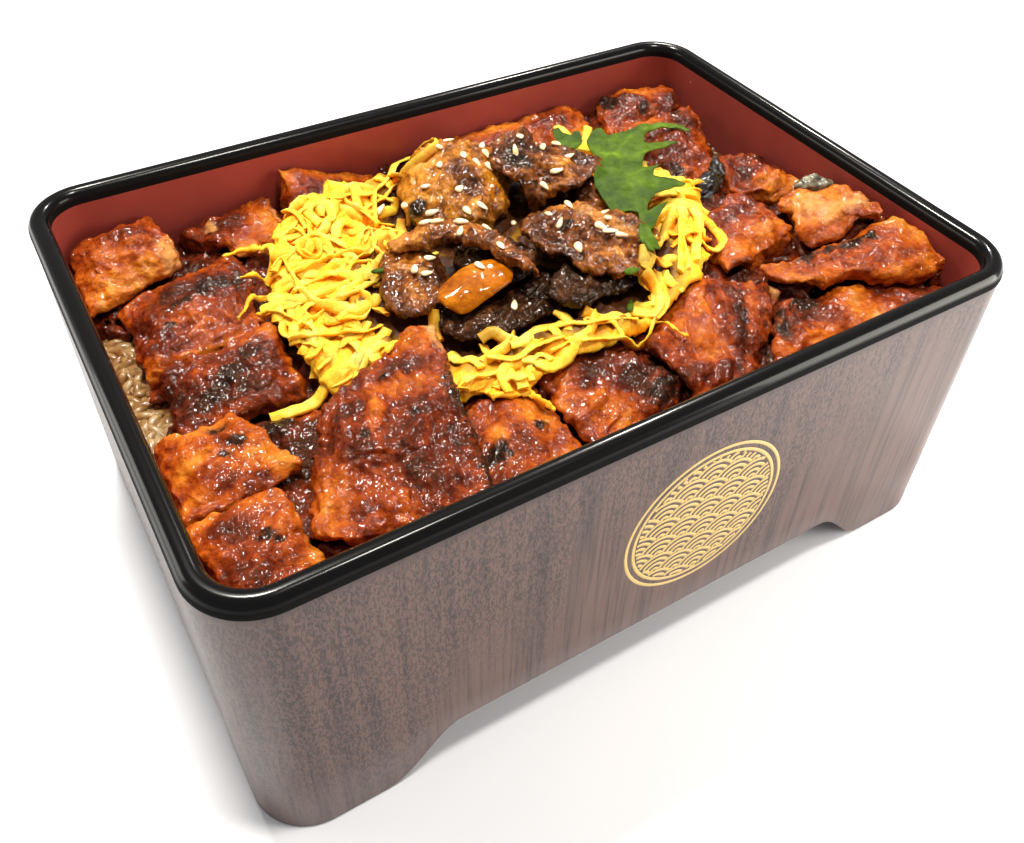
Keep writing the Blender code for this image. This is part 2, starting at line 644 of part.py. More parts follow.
def lay_meat():
    """The simmered meat on the egg, from the lowest pieces to the highest."""
    dark, brown = material("meat_dark", "#3A241A", 0.3), material("meat_brown", "#6E4628", 0.35)
    amber = material("meat_amber", "#C8781E", 0.2)
    pebble("meat_bottom", dark, (-6, -9), (36, 20), 5, 67.5, 9, 51)
    pebble("meat_front_folds", brown, (13, -15), (30, 14), 10, 68.5, 9, 52)
    pebble("meat_right_small", brown, (30, -5), (13, 12), 0, 69.5, 8, 53)
    pebble("meat_right_back", brown, (32, 14), (20, 12), 80, 71, 9, 54)
    pebble("meat_left", brown, (-22, 6), (28, 16), 65, 71, 10, 55, 4.5)
    pebble("meat_middle", dark, (-3, 3), (18, 22), 0, 71.5, 10, 57)
    pebble("meat_right_crusty", brown, (17, -4), (34, 25), 99, 75, 13, 59, 4.5)
    pebble("meat_back_long", brown, (4, 35), (38, 28), 53, 75, 13, 56, 4.5, True)
    pebble("meat_back_dark", dark, (25, 27), (28, 24), -45, 75, 13, 58, 4.5)
    pebble("meat_bean", amber, (-14, -7), (21, 12), 10, 74, 9, 60, 4.2)
    strip("meat_arch", brown, ((-24, 14, 72), (-8, 9, 75.5), (-3, -12, 72)), 7, 4.5, 61, (8, 3))


def scatter_seeds(draw):
    """Sesame seeds fused to the meat they lie on, clear of every other piece."""
    reach = SEED_LENGTH / 2 + 2 * GAP
    number = 0
    for name, count in SEEDS.items():
        core = bpy.data.objects[name]
        spots = [v.co for v in core.data.vertices]
        low = [min(s[i] for s in spots) for i in (0, 1)]
        high = [max(s[i] for s in spots) for i in (0, 1)]
        placed = []
        for _ in range(SEED_TRIES):
            x, y = draw.uniform(low[0], high[0]), draw.uniform(low[1], high[1])
            around = [(x + reach * math.cos(t), y + reach * math.sin(t)) for t in stops(8, 0, 2 * math.pi)]
            owners = {top_at(u, v)[1] for u, v in around + [(x, y)]}
            crowded = any(math.hypot(x - p, y - q) < SEED_LENGTH * 1.1 for p, q in placed)
            if owners == {name} and not crowded and len(placed) < count:
                placed.append((x, y))
                add_seed(number, draw, x, y)
                number += 1
        if placed:
            fuse(core)


def add_seed(number, draw, x, y):
    across = Vector((1, 0, top_at(x + 0.5 * MM, y)[0] / MM - top_at(x - 0.5 * MM, y)[0] / MM))
    tilt = across.normalized().to_track_quat("X", "Z")
    centre = Vector((x, y, top_at(x, y)[0] + 0.1 * SEED_THICKNESS))
    ellipsoid(f"seed_{number}", centre, (SEED_LENGTH, SEED_WIDTH, SEED_THICKNESS), draw.uniform(0, math.pi), tilt)


def make_leaf():
    """The toothed green leaf: a thin wavy sheet that leans over the egg and the eel at the right of the meat."""
    middle = Vector(LEAF_MIDDLE) * MM
    bm = bmesh.new()
    outline = []
    for i, (angle, reach) in enumerate(LEAF_TEETH):
        next_angle, next_reach = LEAF_TEETH[(i + 1) % len(LEAF_TEETH)]
        gap = (next_angle - angle) % 360
        valley = LEAF_VALLEY * min(reach, next_reach)
        outline += [(angle, reach), (angle + 0.35 * gap, valley * 1.08), (angle + 0.7 * gap, valley)]
    bmesh.ops.create_circle(bm, cap_ends=True, cap_tris=True, segments=len(outline), radius=1.0)
    rim = sorted((v for v in bm.verts if v.co.length > 0.5), key=lambda v: math.atan2(v.co.y, v.co.x) % math.tau)
    number = {v: i for i, v in enumerate(rim)}
    spokes = [e for e in bm.edges if sum(v in number for v in e.verts) == 1]
    bmesh.ops.subdivide_edges(bm, edges=spokes, cuts=2)
    turn = math.tau / len(outline)
    for v in bm.verts:
        out = v.co.length
        i = round((math.atan2(v.co.y, v.co.x) % math.tau) / turn) % len(outline)
        angle, reach = math.radians(outline[i][0]), outline[i][1] * MM
        spot = middle + Vector((math.cos(angle), math.sin(angle))) * reach * out
        v.co.x, v.co.y = keep_inside(spot.x, spot.y)
    bmesh.ops.triangulate(bm, faces=bm.faces)
    floor = {v: 0.0 for v in bm.verts}
    for face in bm.faces:
        p, q, r = [v.co.to_2d() for v in face.verts]
        highest = highest_under((p, q, r, r.lerp(p, 0.5)))
        for v in face.verts:
            floor[v] = max(floor[v], highest)
    for v in bm.verts:
        wave = wobble(v.co.x, v.co.y, 9, LEAF_WAVE_SIZE, LEAF_WAVE)
        wanted = LEAF_TOP - LEAF_SLOPE * (v.co.x - middle.x) + wave
        v.co.z = max(wanted, floor[v] + GAP + LEAF_THICKNESS)
    thing = add_object("leaf", to_mesh("leaf", bm), material("leaf", "#5F8A30", 0.4))
    thicken = thing.modifiers.new("thickness", "SOLIDIFY")
    thicken.thickness, thicken.offset = LEAF_THICKNESS, 0.0
    return thing


def main():
    for thing in list(bpy.data.objects):
        bpy.data.objects.remove(thing)
    laid.clear()
    draw = random.Random(11)
    make_box()
    make_rice(draw)
    lay_eel_round_the_egg()
    lay_dark_bits()
    make_egg(draw)
    lay_eel_on_the_egg()
    lay_meat()
    scatter_seeds(draw)
    make_leaf()


main()
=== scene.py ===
"""Looks for the grilled eel on rice in its lacquered box: every finish, and the grains, shreds and seeds.

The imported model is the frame. Every piece here stands where its solid stands, in metres, with +Z up.
"""
import json
import math
import random
from functools import partial

import bmesh
import bpy
import numpy as np
from mathutils import Matrix, Vector, noise
from mathutils.bvhtree import BVHTree

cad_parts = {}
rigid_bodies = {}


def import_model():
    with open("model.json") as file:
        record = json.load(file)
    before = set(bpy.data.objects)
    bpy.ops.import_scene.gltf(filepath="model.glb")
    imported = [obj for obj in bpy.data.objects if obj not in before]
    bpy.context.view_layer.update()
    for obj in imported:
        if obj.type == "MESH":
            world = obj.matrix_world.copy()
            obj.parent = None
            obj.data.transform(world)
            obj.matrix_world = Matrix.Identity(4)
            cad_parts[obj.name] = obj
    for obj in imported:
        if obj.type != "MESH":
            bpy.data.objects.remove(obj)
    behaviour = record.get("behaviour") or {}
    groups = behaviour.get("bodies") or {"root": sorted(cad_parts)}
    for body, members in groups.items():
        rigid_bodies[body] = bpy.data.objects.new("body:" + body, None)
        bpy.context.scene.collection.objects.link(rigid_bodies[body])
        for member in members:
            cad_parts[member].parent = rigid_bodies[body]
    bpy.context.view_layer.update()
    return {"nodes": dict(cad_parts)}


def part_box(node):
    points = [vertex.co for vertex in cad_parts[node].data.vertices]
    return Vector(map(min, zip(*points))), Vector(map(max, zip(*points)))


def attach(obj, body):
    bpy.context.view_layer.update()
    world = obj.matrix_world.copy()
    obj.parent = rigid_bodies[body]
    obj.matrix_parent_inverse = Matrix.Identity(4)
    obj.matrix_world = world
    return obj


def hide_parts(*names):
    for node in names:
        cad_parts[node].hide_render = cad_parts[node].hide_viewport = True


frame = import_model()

bl_info = {
    "name": "Grilled Eel on Rice",
    "version": (1, 0, 0),
    "blender": (4, 5, 0),
    "location": "3D View > Sidebar > Boxed Meal",
    "description": "Dresses a boxed meal of grilled eel, shredded egg, simmered meat and rice",
    "category": "Object",
}

MM = 0.001
BODY = "root"
MEAT = sorted(name for name in frame["nodes"] if name.startswith("meat_"))
UP = Vector((0, 0, 1))
LOOKOUT = 200 * MM

# The box's own sizes, from its solid and from the real moulding.
BOX_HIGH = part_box("box")[1]
HALF_LENGTH, HALF_DEPTH, BOX_HEIGHT = BOX_HIGH
CORNER_RADIUS = 12.7 * MM
WALL = 4.4 * MM
LINING = 0.4 * MM
RIM_ROUND = 2.0 * MM
RIM_LIP = 0.2 * MM
RIM_DROP = 3.4 * MM
RIM_LOW = BOX_HEIGHT - RIM_DROP
FOOT_ROUND = 0.6 * MM
FLOOR_UNDERSIDE = 20 * MM
FLOOR_TOP = 23 * MM
COVE = 2 * MM
ARCH_RISE = 12.9 * MM
LONG_ARCH_HALF = 49.5 * MM
SHORT_ARCH_HALF = 25 * MM
ARCH_SLOPE_RUN = 17 * MM
CORNER_STEPS = 16
LONG_STEPS, SHORT_STEPS = 84, 56
ORNAMENT_MIDDLE = (7.5 * MM, 42.5 * MM)

# The photo's camera, in metres and radians, for a picture of 1024 x 843.
PICTURE_WIDTH, PICTURE_HEIGHT = 1024, 843
CAMERA_PLACE = Vector((-0.09466, -0.15228, 0.20126))
CAMERA_PITCH = 0.7537
CAMERA_YAW = 0.5728
CAMERA_ROLL = 0.0384
FOCAL_PIXELS = 987.19
OPTICAL_CENTRE = (522.83, 375.60)
SENSOR_WIDTH = 36.0

# Each piece of eel: how golden (1) or dark (-1) it is all over, which way its flesh runs in degrees from +X,
# the height of its folds in mm, and its marks: x, y, reach along, reach across (mm) and turn (degrees).
EEL_LOOKS = {
    "eel_back_left": (0.05, 20, 0.8, {
        "gold": ((-74, 42, 12, 8, 20), (-81, 32, 6, 6, 0)), "deep": ((-70, 52, 8, 2.6, 0),
        # Its pale blobs low on the left are partly pale flesh and partly painted highlights; the pale right
        # edge is flesh.
        (-73, 47, 6, 2.4, 10)), "pale": ((-64, 42, 3.4, 8, 10), (-77, 35, 6, 4, 20), (-68, 36, 5, 3, 0)),
    }),
    "eel_back_second": (0.0, 80, 0.8, {
        "gold": ((-41, 49, 4, 8, 0), (-52, 40, 8, 3, 0)), "deep": ((-50, 52, 7, 5, 0),),
        "char": ((-43, 37, 3, 3, 0),), "pale": ((-36, 48, 1.6, 8, 10), (-53, 53, 1.5, 3, 0)),
    }),
    "eel_back_peaked": (0.0, 0, 0.8, {
        "gold": ((-32, 58, 2, 5, 0), (-18, 57, 10, 2.5, 0)), "deep": ((-25, 50, 9, 6, 0),),
        "char": ((-20, 51, 3.5, 2, -20), (-27, 47, 2.5, 1.6, 0)),
    }),
    "eel_back_charred": (-0.6, 0, 0.8, {
        "deep": ((8, 54, 8, 6, 0),), "char": ((-4, 53, 6, 6, 0), (12, 51, 3, 2, 0)),
    }),
    "eel_back_centre": (0.25, 0, 0.8, {
        "gold": ((30, 57, 9, 3, 0), (52, 47, 4, 5, 0)), "deep": ((22, 50, 6, 4, 0), (44, 52, 7, 5, 0)),
    }),
    "eel_back_right": (0.15, 20, 0.8, {
        "gold": ((76, 57, 9, 1.6, -4), (73, 53, 2, 4, 30)), "deep": ((68, 49, 7, 7, 0), (79, 45, 6, 5, 0)),
        "char": ((64, 54, 3, 5, 0), (70, 46, 2.5, 1.6, 20)),
    }),
    "eel_back_right_lower": (0.1, 60, 0.8, {
        "gold": ((83, 30, 3, 10, 0), (66, 38, 4, 3, 0)), "deep": ((72, 34, 9, 7, 0), (64, 24, 8, 8, 0)),
        "char": ((75, 38, 3, 1.2, 20), (60, 18, 4, 3, 0)),
    }),
    "eel_right": (-0.1, 70, 1.4, {
        "gold": ((78, -2, 5, 5, 0),), "deep": ((81, 9, 6, 5, 0), (74, 6, 3, 3, 0)),
        "pale": ((84, -4, 2, 3, 0),),
    }),
    "eel_right_wing": (0.2, -20, 0.8, {
        "gold": ((74, -16, 11, 7, -20),), "deep": ((78, -13, 9, 1.8, -20),), "pale": ((78, -24, 8, 4.5, -12),
        (72, -18, 4, 4, 0)),
    }),
    "eel_right_charred": (0.55, 0, 0.8, {
        "gold": ((85, -35, 3, 8, 0), (82, -30, 3, 3, 0)), "deep": ((72, -38, 14, 5, -10),),
        "char": ((70, -34, 8, 2.2, -12), (60, -31, 3, 2, 0)),
    }),
    "eel_right_diagonal": (-0.15, 20, 0.8, {
        "gold": ((56, -18, 13, 3.2, 12), (66, -14, 3, 4, 0)), "deep": ((56, -7, 9, 3, 10),
        (66, -4, 3, 3, 0)), "pale": ((69, -18, 1.2, 3, 0),),
    }),
    "eel_front_right": (0.05, 20, 0.8, {
        "gold": ((60, -50, 4, 8, -25), (48, -49, 4, 3, 0)), "deep": ((50, -44, 6, 6, 0), (74, -50, 8, 4, 0)),
        "char": ((42, -43, 2, 7, -25), (51, -41, 5, 3, 10)), "pale": ((61, -54, 2, 3, 0),),
    }),
    "eel_front_ridged": (-0.45, 60, 2.2, {
        "gold": ((24, -30, 9, 5, 40), (34, -22, 6, 3, 30), (24, -40, 4, 8, -30), (42, -33, 8, 1.6, 50)),
        "deep": ((33, -40, 9, 1.4, 50), (19, -47, 5, 3, 0)), "char": ((36, -38, 2.5, 0.6, 50),),
        "pale": ((50, -31, 1.2, 6, -30),),
    }),
    "eel_front_curled": (-0.55, 40, 1.3, {
        "gold": ((-5, -45, 9, 5, -40), (-10, -38, 3, 6, -30)), "deep": ((2, -35, 8, 4, 10),
        (6, -40, 5, 3, 0)), "char": ((12, -41, 3.5, 6, 30), (8, -46, 6, 3, 25)),
    }),
    "eel_front_centre_left": (0.0, 60, 0.8, {
        "gold": ((-27, -39, 2, 2, 0), (-16, -35, 4, 9, -30), (-17, -52, 6, 4, 0)),
        "deep": ((-21, -29, 5, 4, 0), (-22, -42, 3, 2.4, 0), (-34, -50, 5, 5, 0)),
        "char": ((-18, -41, 1.6, 1.8, 0), (-30, -44, 5, 3.2, 10), (-30, -29, 2, 8, -12)),
    }),
    "eel_front_left_large": (-0.22, 75, 1.6, {
        "gold": ((-31, -12, 5, 4, 30), (-40, -22, 8, 2.5, -15), (-62, -41, 3.5, 8, -30),
        (-47, -27, 1.6, 5, -25)), "deep": ((-37, -17, 4, 3, 0), (-40, -38, 8, 10, 0), (-52, -28, 4, 9, -20)),
        "char": ((-30, -30, 3, 9, -8), (-33, -47, 2.4, 8, -14), (-41, -18, 1.4, 0.9, 0),
        (-51, -31, 1.3, 1.3, 0), (-44, -52, 3, 1.4, -20), (-40, -30, 1.2, 1.0, 0)),
        "pale": ((-26, -12, 2.4, 6, -10),),
    }),
    "eel_under_front_left": (-0.6, 70, 0.8, {
        "gold": ((-54, -12, 4, 1.4, 0),), "deep": ((-57, -20, 9, 9, 0),), "char": ((-62, -13, 5, 3, 0),),
    }),
    "eel_front_left_upper": (0.12, 20, 0.8, {
        "gold": ((-79, -8, 7, 3, -20), (-66, -22, 4, 5, 0), (-82, -25, 5, 1.6, 25), (-80, -18, 5, 1.6, 20)),
        "deep": ((-71, -27, 2.6, 2.4, 0), (-77, -24, 4, 2, 0)), "char": ((-73.5, -12, 2.3, 1.5, -10),
        (-71, -16.5, 2.2, 1.4, -15), (-74, -19, 1.8, 1.5, -40)),
    }),
    "eel_front_left_corner": (0.2, 20, 0.8, {
        "gold": ((-67.5, -47, 1.6, 10, -12), (-82, -31, 5, 1.5, 20)), "deep": ((-78, -36, 5, 3, 0),
        (-78, -46, 5, 5, 0), (-72, -54, 5, 4, 0)), "char": ((-74, -40, 3.4, 1.6, -40),),
    }),
    "eel_left_lower": (-0.2, 10, 0.8, {
        "gold": ((-54, 11, 3, 2.4, 0), (-53.5, 0, 1.4, 6, 0)), "deep": ((-66, 0, 14, 6, 8),
        (-77, 8, 4, 6, 0)), "char": ((-71.5, -1.5, 3, 2, 10), (-66, 2, 4.5, 2.2, 25), (-60, 6, 4, 2.4, 20)),
    }),
    "eel_left_large": (-0.04, 10, 0.8, {
        "gold": ((-49, 27, 1.8, 9, 0), (-52, 18, 2.4, 6, 0), (-78, 13, 4, 3, 0), (-66, 13, 15, 1.5, 2)),
        "deep": ((-66, 31, 14, 6, 10), (-76, 20, 4, 9, 0)), "char": ((-56, 31, 6, 3, 10),
        (-62, 30, 5, 3, 20), (-68, 27, 4, 2.2, 10), (-72, 22, 2, 1.4, 0)),
    }),
}
MARKS = ("gold", "deep", "char", "pale")

# Each simmered piece: its ramp, lump size and height, ridge size and height in mm, grain angle in degrees,
# blister height in mm, and its marks, as on the eel.
MEAT_LOOKS = {
    "meat_arch": ("brown", 4.0, 0.7, 2.2, 0.8, 40, 0.5, {
        # The pale mark at its left end is partly pale fat and partly a painted highlight.
        "gold": ((-21, 13, 6, 5, 0), (-7, 8, 8, 2, -40)), "pale": ((-22, 14, 5, 2.6, 25),),
    }),
    "meat_back_dark": ("brown", 5.0, 2.2, 2.4, 1.2, -45, 0.7, {
        "gold": ((27, 22, 3, 3, 0),), "deep": ((22, 32, 6, 4, 0), (33, 24, 3, 5, 0)),
        "char": ((17, 27, 4, 5, 0),),
    }),
    "meat_back_long": ("light", 6.0, 2.0, 3.4, 1.6, 53, 0.4, {
        "gold": ((-3, 39, 4, 17, -37), (11, 31, 4, 5, 0), (-12, 29, 3, 4, 0)), "deep": ((2, 27, 6, 4, 50),),
        "char": ((-10.5, 26.8, 2.6, 2.4, 0),), "pale": ((-1, 42, 2, 9, -37), (13, 45, 3, 3, 0)),
    }),
    "meat_bean": ("amber", 9.0, 0.4, 3.0, 0.1, 10, 0.05, {}),
    "meat_bottom": ("dark", 5.0, 1.4, 3.4, 1.6, 20, 0.7, {}),
    "meat_front_folds": ("dark", 4.0, 1.4, 2.5, 1.2, 35, 0.7, {
        "gold": ((12, -16, 6, 1.4, 30), (22, -11, 5, 1.2, 40)), "deep": ((16, -19, 6, 3, 0),),
    }),
    "meat_left": ("brown", 4.5, 1.5, 2.8, 0.8, 65, 0.7, {
        "gold": ((-26, 0, 2, 4, 0), (-22, 8, 4, 2, 0)), "deep": ((-18, 4, 4, 5, 0),),
        "pale": ((-21, 4, 2, 1, 30),),
    }),
    "meat_middle": ("dark", 4.0, 1.2, 2.5, 0.8, 0, 0.8, {}),
    "meat_right_back": ("brown", 4.0, 1.4, 2.5, 0.7, 80, 0.9, {
        "gold": ((34, 10, 4, 4, 0),), "deep": ((28, 18, 4, 5, 0),),
    }),
    "meat_right_crusty": ("brown", 4.5, 2.6, 2.4, 1.4, 99, 1.1, {
        "gold": ((18, -14, 6, 2, 0), (20, 8, 4, 3, 0)), "deep": ((9, -3, 3, 9, 0),),
        "char": ((13, -1, 2, 1.6, 0),), "pale": ((22, 0, 3, 8, 22), (24, -8, 4, 3, 0)),
    }),
    "meat_right_small": ("brown", 3.5, 1.2, 2.0, 0.6, 0, 0.9, {
        "gold": ((31, -5, 4, 4, 0),),
    }),
}
MEAT_RAMPS = {
    # The dark ramp, for the low pieces under the heap, is partly the lean meat's own colour and partly
    # painted shade.
    "dark": ((0.0, "#0A0504"), (0.3, "#180D08"), (0.55, "#30190C"), (0.8, "#5A3517"), (1.0, "#94632C")),
    "brown": ((0.0, "#1E0E07"), (0.3, "#4A270E"), (0.55, "#7E4B19"), (0.8, "#B07A32"), (1.0, "#DCB068")),
    "light": ((0.0, "#34190A"), (0.3, "#6E4212"), (0.55, "#A8721E"), (0.8, "#CC983C"), (1.0, "#E8C478")),
    "amber": ((0.0, "#7E3E04"), (0.4, "#AA6206"), (0.7, "#C47C10"), (1.0, "#D89A2C")),
}

# Shreds of egg that stand out in the photo, given one by one: width, and the places that each passes over, in
# mm.
SHRED_PATHS = (
    (2.4, ((-14.4, -22.7), (-11.7, -23.1), (-6.2, -21.6), (-0.2, -22.5), (2.5, -25), (8.7, -26.3),
        (13.5, -28.5))),
    (3.2, ((-1.7, -29.3), (3.6, -30.2), (10, -31.5), (13.5, -32.8), (16, -31), (18.4, -29.2))),
    (2.6, ((-14, -27), (-12.3, -28.4), (-10.6, -31.2), (-6.8, -31.3), (-3.4, -30), (-3.8, -28.4),
        (-8, -28))),
    (2.0, ((-19.6, -22.2), (-17.1, -25.2), (-14.2, -25.9), (-10.8, -25.3), (-7.6, -25.6), (-4, -26.5))),
    (2.2, ((-18, -26.6), (-17.4, -30), (-15.5, -30.1))),
    (2.6, ((-18.9, -17.9), (-15.8, -18.4), (-14.1, -22))),
    (4.0, ((-24.4, -14.8), (-24.5, -18.8), (-22.4, -21.2), (-22, -24.2))),
    (2.2, ((2, 57), (-3, 55), (-7, 50), (-6, 44), (-1, 42), (4, 44), (5, 49), (1, 52))),
    (2.0, ((-7.5, 41), (-7.3, 48.7), (-11.2, 45.9), (-15.2, 41.2), (-18.3, 34.9), (-19.4, 31))),
    (2.2, ((-54, 15.4), (-48.8, 13.4), (-44.4, 12.5), (-40.1, 12.7), (-35, 11))),
    (2.0, ((-49.6, 14.3), (-48.4, 19), (-47.5, 21.5), (-45, 21.4), (-44.5, 18), (-46.5, 15.6))),
    (2.2, ((-31.7, 35.2), (-33, 39.4), (-31, 41.5), (-28.1, 39.8), (-28.5, 36), (-29.7, 34.2))),
    (3.2, ((47, 9), (50.9, 8.1), (55.4, 6.1), (58.5, 6.5))),
    (4.5, ((47, 1), (46.6, -1.8), (43, -6), (40.5, -9.7), (37, -15), (32.4, -21.8))),
    (2.0, ((49.1, -6), (50, -10), (48.8, -14.6), (44.7, -17), (43, -14), (45, -9))),
    (3.5, ((36, 2), (41.4, 4.7), (46, 1.5), (50.5, -0.5), (53.5, -3.5))),
    (2.6, ((24, -16), (20.2, -21.3), (21.9, -23.6), (19.2, -27.6))),
    (2.2, ((25, -20), (23.8, -24.2), (21, -28), (17, -30))),
    (3.0, ((54.9, 26), (52, 20), (54.4, 13.8), (56.3, 9.8))),
    (0.8, ((-62.5, -9.5), (-58, -10), (-53.5, -9.8), (-48.5, -8.4))),
    (2.0, ((43.4, 50), (45.3, 45.7), (46, 41))),
    (2.0, ((53, 48), (47, 41))),
    (6.5, ((35.1, -1.9), (40.7, -0.7), (45.0, -0.6), (48.7, -5.1), (46.6, -9.7), (43.5, -14))),
    (6.0, ((45, -1.5), (40.4, -4.4), (33.7, -9.5), (28, -13))),
    (6.0, ((46, -2), (43.5, -5.7), (37.8, -12.8), (30.6, -21.5))),
    (6.5, ((48.5, -3), (46.5, -8), (41.5, -13.6), (36, -20))),
    (4.0, ((51, 20.5), (51.4, 16.5), (52.8, 12.5), (50.1, 6.6))),
    (4.0, ((45.5, 9.7), (49.5, 6.8), (54, 5), (57.5, 4.8))),
    (3.4, ((30.2, -18), (25, -18.2), (20.5, -21))),
    (3.0, ((20, -21.5), (21.4, -23.5), (20.6, -27), (16.3, -30))),
)
SHRED_STEP = 0.9 * MM

# Sesame seeds that the photo shows: x and y in mm in plan, and the way that each points, in degrees.
SEEDS = (
    (20, 46, 39), (15.4, 41.6, 53), (13.7, 36.5, -88), (6.2, 34.5, -103), (8.6, 32.3, -85),
    (10.7, 29.9, -82), (-0.4, 34.5, 52), (-6.3, 30.1, 11), (0.3, 26, 32), (-12.4, 29.2, -70),
    (-8.2, 23.7, -18), (22.6, 35.1, 32), (25.9, 29.2, -110), (31, 31, -83), (19.2, 18, -76),
    (20.5, 15.1, -112), (14.5, 8, -83), (20, 8.5, -99), (12.7, 0.9, 34), (10.8, -9.4, -107),
    (-14.4, 14.4, -7), (-12.2, 13.2, -39), (-7.9, 9.8, -42), (-1.4, 19, -88), (2.5, 19, -55), (-3, 7, -20),
    (-9.3, 7.6, 48), (-17, 8, -9), (-5.5, -3.2, -101), (-22.3, 4.7, 64), (-20.6, 2.4, 2), (-15, 0, 56),
    (-11.2, -4.2, -80), (-8, -13.5, 57), (18.9, -6.2, -65), (19.3, -9.2, -47), (21.6, -10.1, -54),
    (4, 43, 10), (18, 30, 80), (24, 20, -30), (28, 36, 60), (9, 48, -20), (26, 2, 15), (12, 20, 70),
    (30, 24, -10), (-16, 36, 30), (23, -3, 70), (34, 12, -60),
)
# Slivers of chopped green herb, in the same way.
HERB = ((-28, 10, -20), (-14.8, 33.3, 30), (16.8, -21.1, 0), (15.1, -24.1, 50), (24, -17, 80))

# The leaf in plan, in mm: its toothed outline with spikes at the back right, and its veins from the stem.
LEAF_EDGE = (
    (41.2, 32.3), (44.5, 35.3), (47.8, 37.4), (49.0, 36.3), (48.1, 33.9), (48.1, 32.1), (50.8, 32.4),
    (53.6, 32.6), (59.1, 34.2), (63.7, 33.6), (67.8, 32.4), (70.8, 29.7), (71.9, 26.4), (70.2, 27.0),
    (69.3, 28.6), (66.9, 30.4), (63.4, 31.2), (59.8, 30.4), (57.2, 28.4), (54.5, 24.9), (57.1, 23.9),
    (60.4, 24.0), (63.9, 22.2), (59.0, 21.4), (55.7, 21.2), (52.1, 20.4), (49.2, 18.1), (45.0, 13.4),
    (47.2, 13.1), (50.2, 12.6), (47.0, 11.0), (45.5, 9.3), (48.2, 7.9), (51.1, 3.0), (44.9, 2.6),
    (41.2, 2.4), (37.1, 0.2), (35.8, -1.5), (38.9, -1.2), (42.6, -0.9), (37.4, -4.2), (32.7, -8.0),
    (30.2, -9.8), (28.3, -12.4), (27.4, -17.6), (24.3, -16.8), (23.6, -14.3), (25.4, -11.4), (31.0, -5.0),
    (33.3, -1.0), (31.4, 0.8), (29.8, 0.7), (27.5, 1.1), (28.8, 6.1), (30.0, 12.1), (31.3, 14.7),
    (35.5, 19.3), (37.8, 23.4), (39.4, 28.5),
)
LEAF_BACK_EDGE = (
    (37.3, 42.5), (39.2, 42.7), (38.9, 39.8), (39.9, 37.4), (41.9, 39.2), (43.3, 38.6), (42.0, 35.5),
    (40.1, 32.6), (37.5, 31.2), (35.0, 32.0), (34.9, 36.0), (35.7, 39.6),
)
LEAF_VEINS = (
    ((27, -14), (33, -3), (37, 6), (41, 16), (45, 26), (48.3, 36.5)),
    ((37, 6), (45, 5.5), (50, 3.6)),
    ((39, 11), (45, 12), (49, 12.4)),
    ((41, 16), (50, 20), (60, 22.8)),
    ((44, 23), (54, 30), (64, 32.6), (71, 28)),
    ((36, 4), (32, 9)),
    ((40, 15), (35, 17)),
    ((43, 22), (40, 25)),
    ((45, 27), (50, 31)),
)


def linear(code):
    """A linear colour from an sRGB hex code."""
    channels = [int(code[i : i + 2], 16) / 255 for i in (1, 3, 5)]
    return tuple(c / 12.92 if c <= 0.04045 else ((c + 0.055) / 1.055) ** 2.4 for c in channels) + (1.0,)


def share(value):
    """A value kept between nothing and the whole."""
    return min(1.0, max(0.0, value))


def fill(node, inputs):
    """Gives a node's inputs their values or links, by name, or in their order where they come as a row."""
    for name, value in inputs.items() if isinstance(inputs, dict) else enumerate(inputs):
        if isinstance(value, bpy.types.NodeSocket):
            node.id_data.links.new(value, node.inputs[name])
        else:
            node.inputs[name].default_value = value


def add_node(tree, kind, inputs=(), stops=(), out=0, **settings):
    """Adds a node with its settings, its inputs and a ramp's stops, and returns the output asked for."""
    made = tree.nodes.new(kind)
    for name, value in settings.items():
        setattr(made, name, value)
    fill(made, inputs)
    for i, (place, code) in enumerate(stops):
        element = made.color_ramp.elements[i] if i < 2 else made.color_ramp.elements.new(place)
        element.position, element.color = place, linear(code)
    return made.outputs[out] if len(made.outputs) else made


def start_material(name):
    """A new material: returns it, the function that adds its nodes, and the object coordinates."""
    finish = bpy.data.materials.new(name)
    finish.use_nodes = True
    finish.node_tree.nodes.clear()
    add = partial(add_node, finish.node_tree)
    return finish, add, add("ShaderNodeTexCoord", out="Object")


def end_material(finish, looks):
    """Gives a material its shader, with these looks."""
    shader = add_node(finish.node_tree, "ShaderNodeBsdfPrincipled", looks)
    add_node(finish.node_tree, "ShaderNodeOutputMaterial", (shader,))
    return finish


def size_to_scale(millimetres):
    """The texture scale that gives features of about this size on object coordinates in metres."""
    return 1.0 / (millimetres * MM)


def start_tree(name, inputs):
    """A geometry tree: returns it, the function that adds its nodes, and its inputs by name."""
    tree = bpy.data.node_groups.new(name, "GeometryNodeTree")
    tree.interface.new_socket("Geometry", in_out="OUTPUT", socket_type="NodeSocketGeometry")
    for label, value in {"Geometry": None, "Material": None, **inputs}.items():
        kind = {int: "Int", float: "Float"}.get(type(value), label)
        socket = tree.interface.new_socket(label, in_out="INPUT", socket_type=f"NodeSocket{kind}")
        if value is not None:
            socket.default_value = value
    add = partial(add_node, tree)
    return tree, add, add("NodeGroupInput").node.outputs


def end_tree(tree, add, get, geometry):
    """Closes a tree: instances are made real and take the material."""
    real = add("GeometryNodeRealizeInstances", (geometry,))
    painted = add("GeometryNodeSetMaterial", {"Geometry": real, "Material": get["Material"]})
    add("NodeGroupOutput", (painted,))
    return tree


def link_object(name, data):
    """A new object in the scene that holds this data."""
    thing = bpy.data.objects.new(name, data)
    bpy.context.scene.collection.objects.link(thing)
    return thing


def bake_modifiers(thing):
    """The plain mesh that an object's modifiers make. The object and its own data are removed."""
    depsgraph = bpy.context.evaluated_depsgraph_get()
    mesh = bpy.data.meshes.new_from_object(thing.evaluated_get(depsgraph))
    data = thing.data
    bpy.data.objects.remove(thing)
    bpy.data.batch_remove([data])
    return mesh


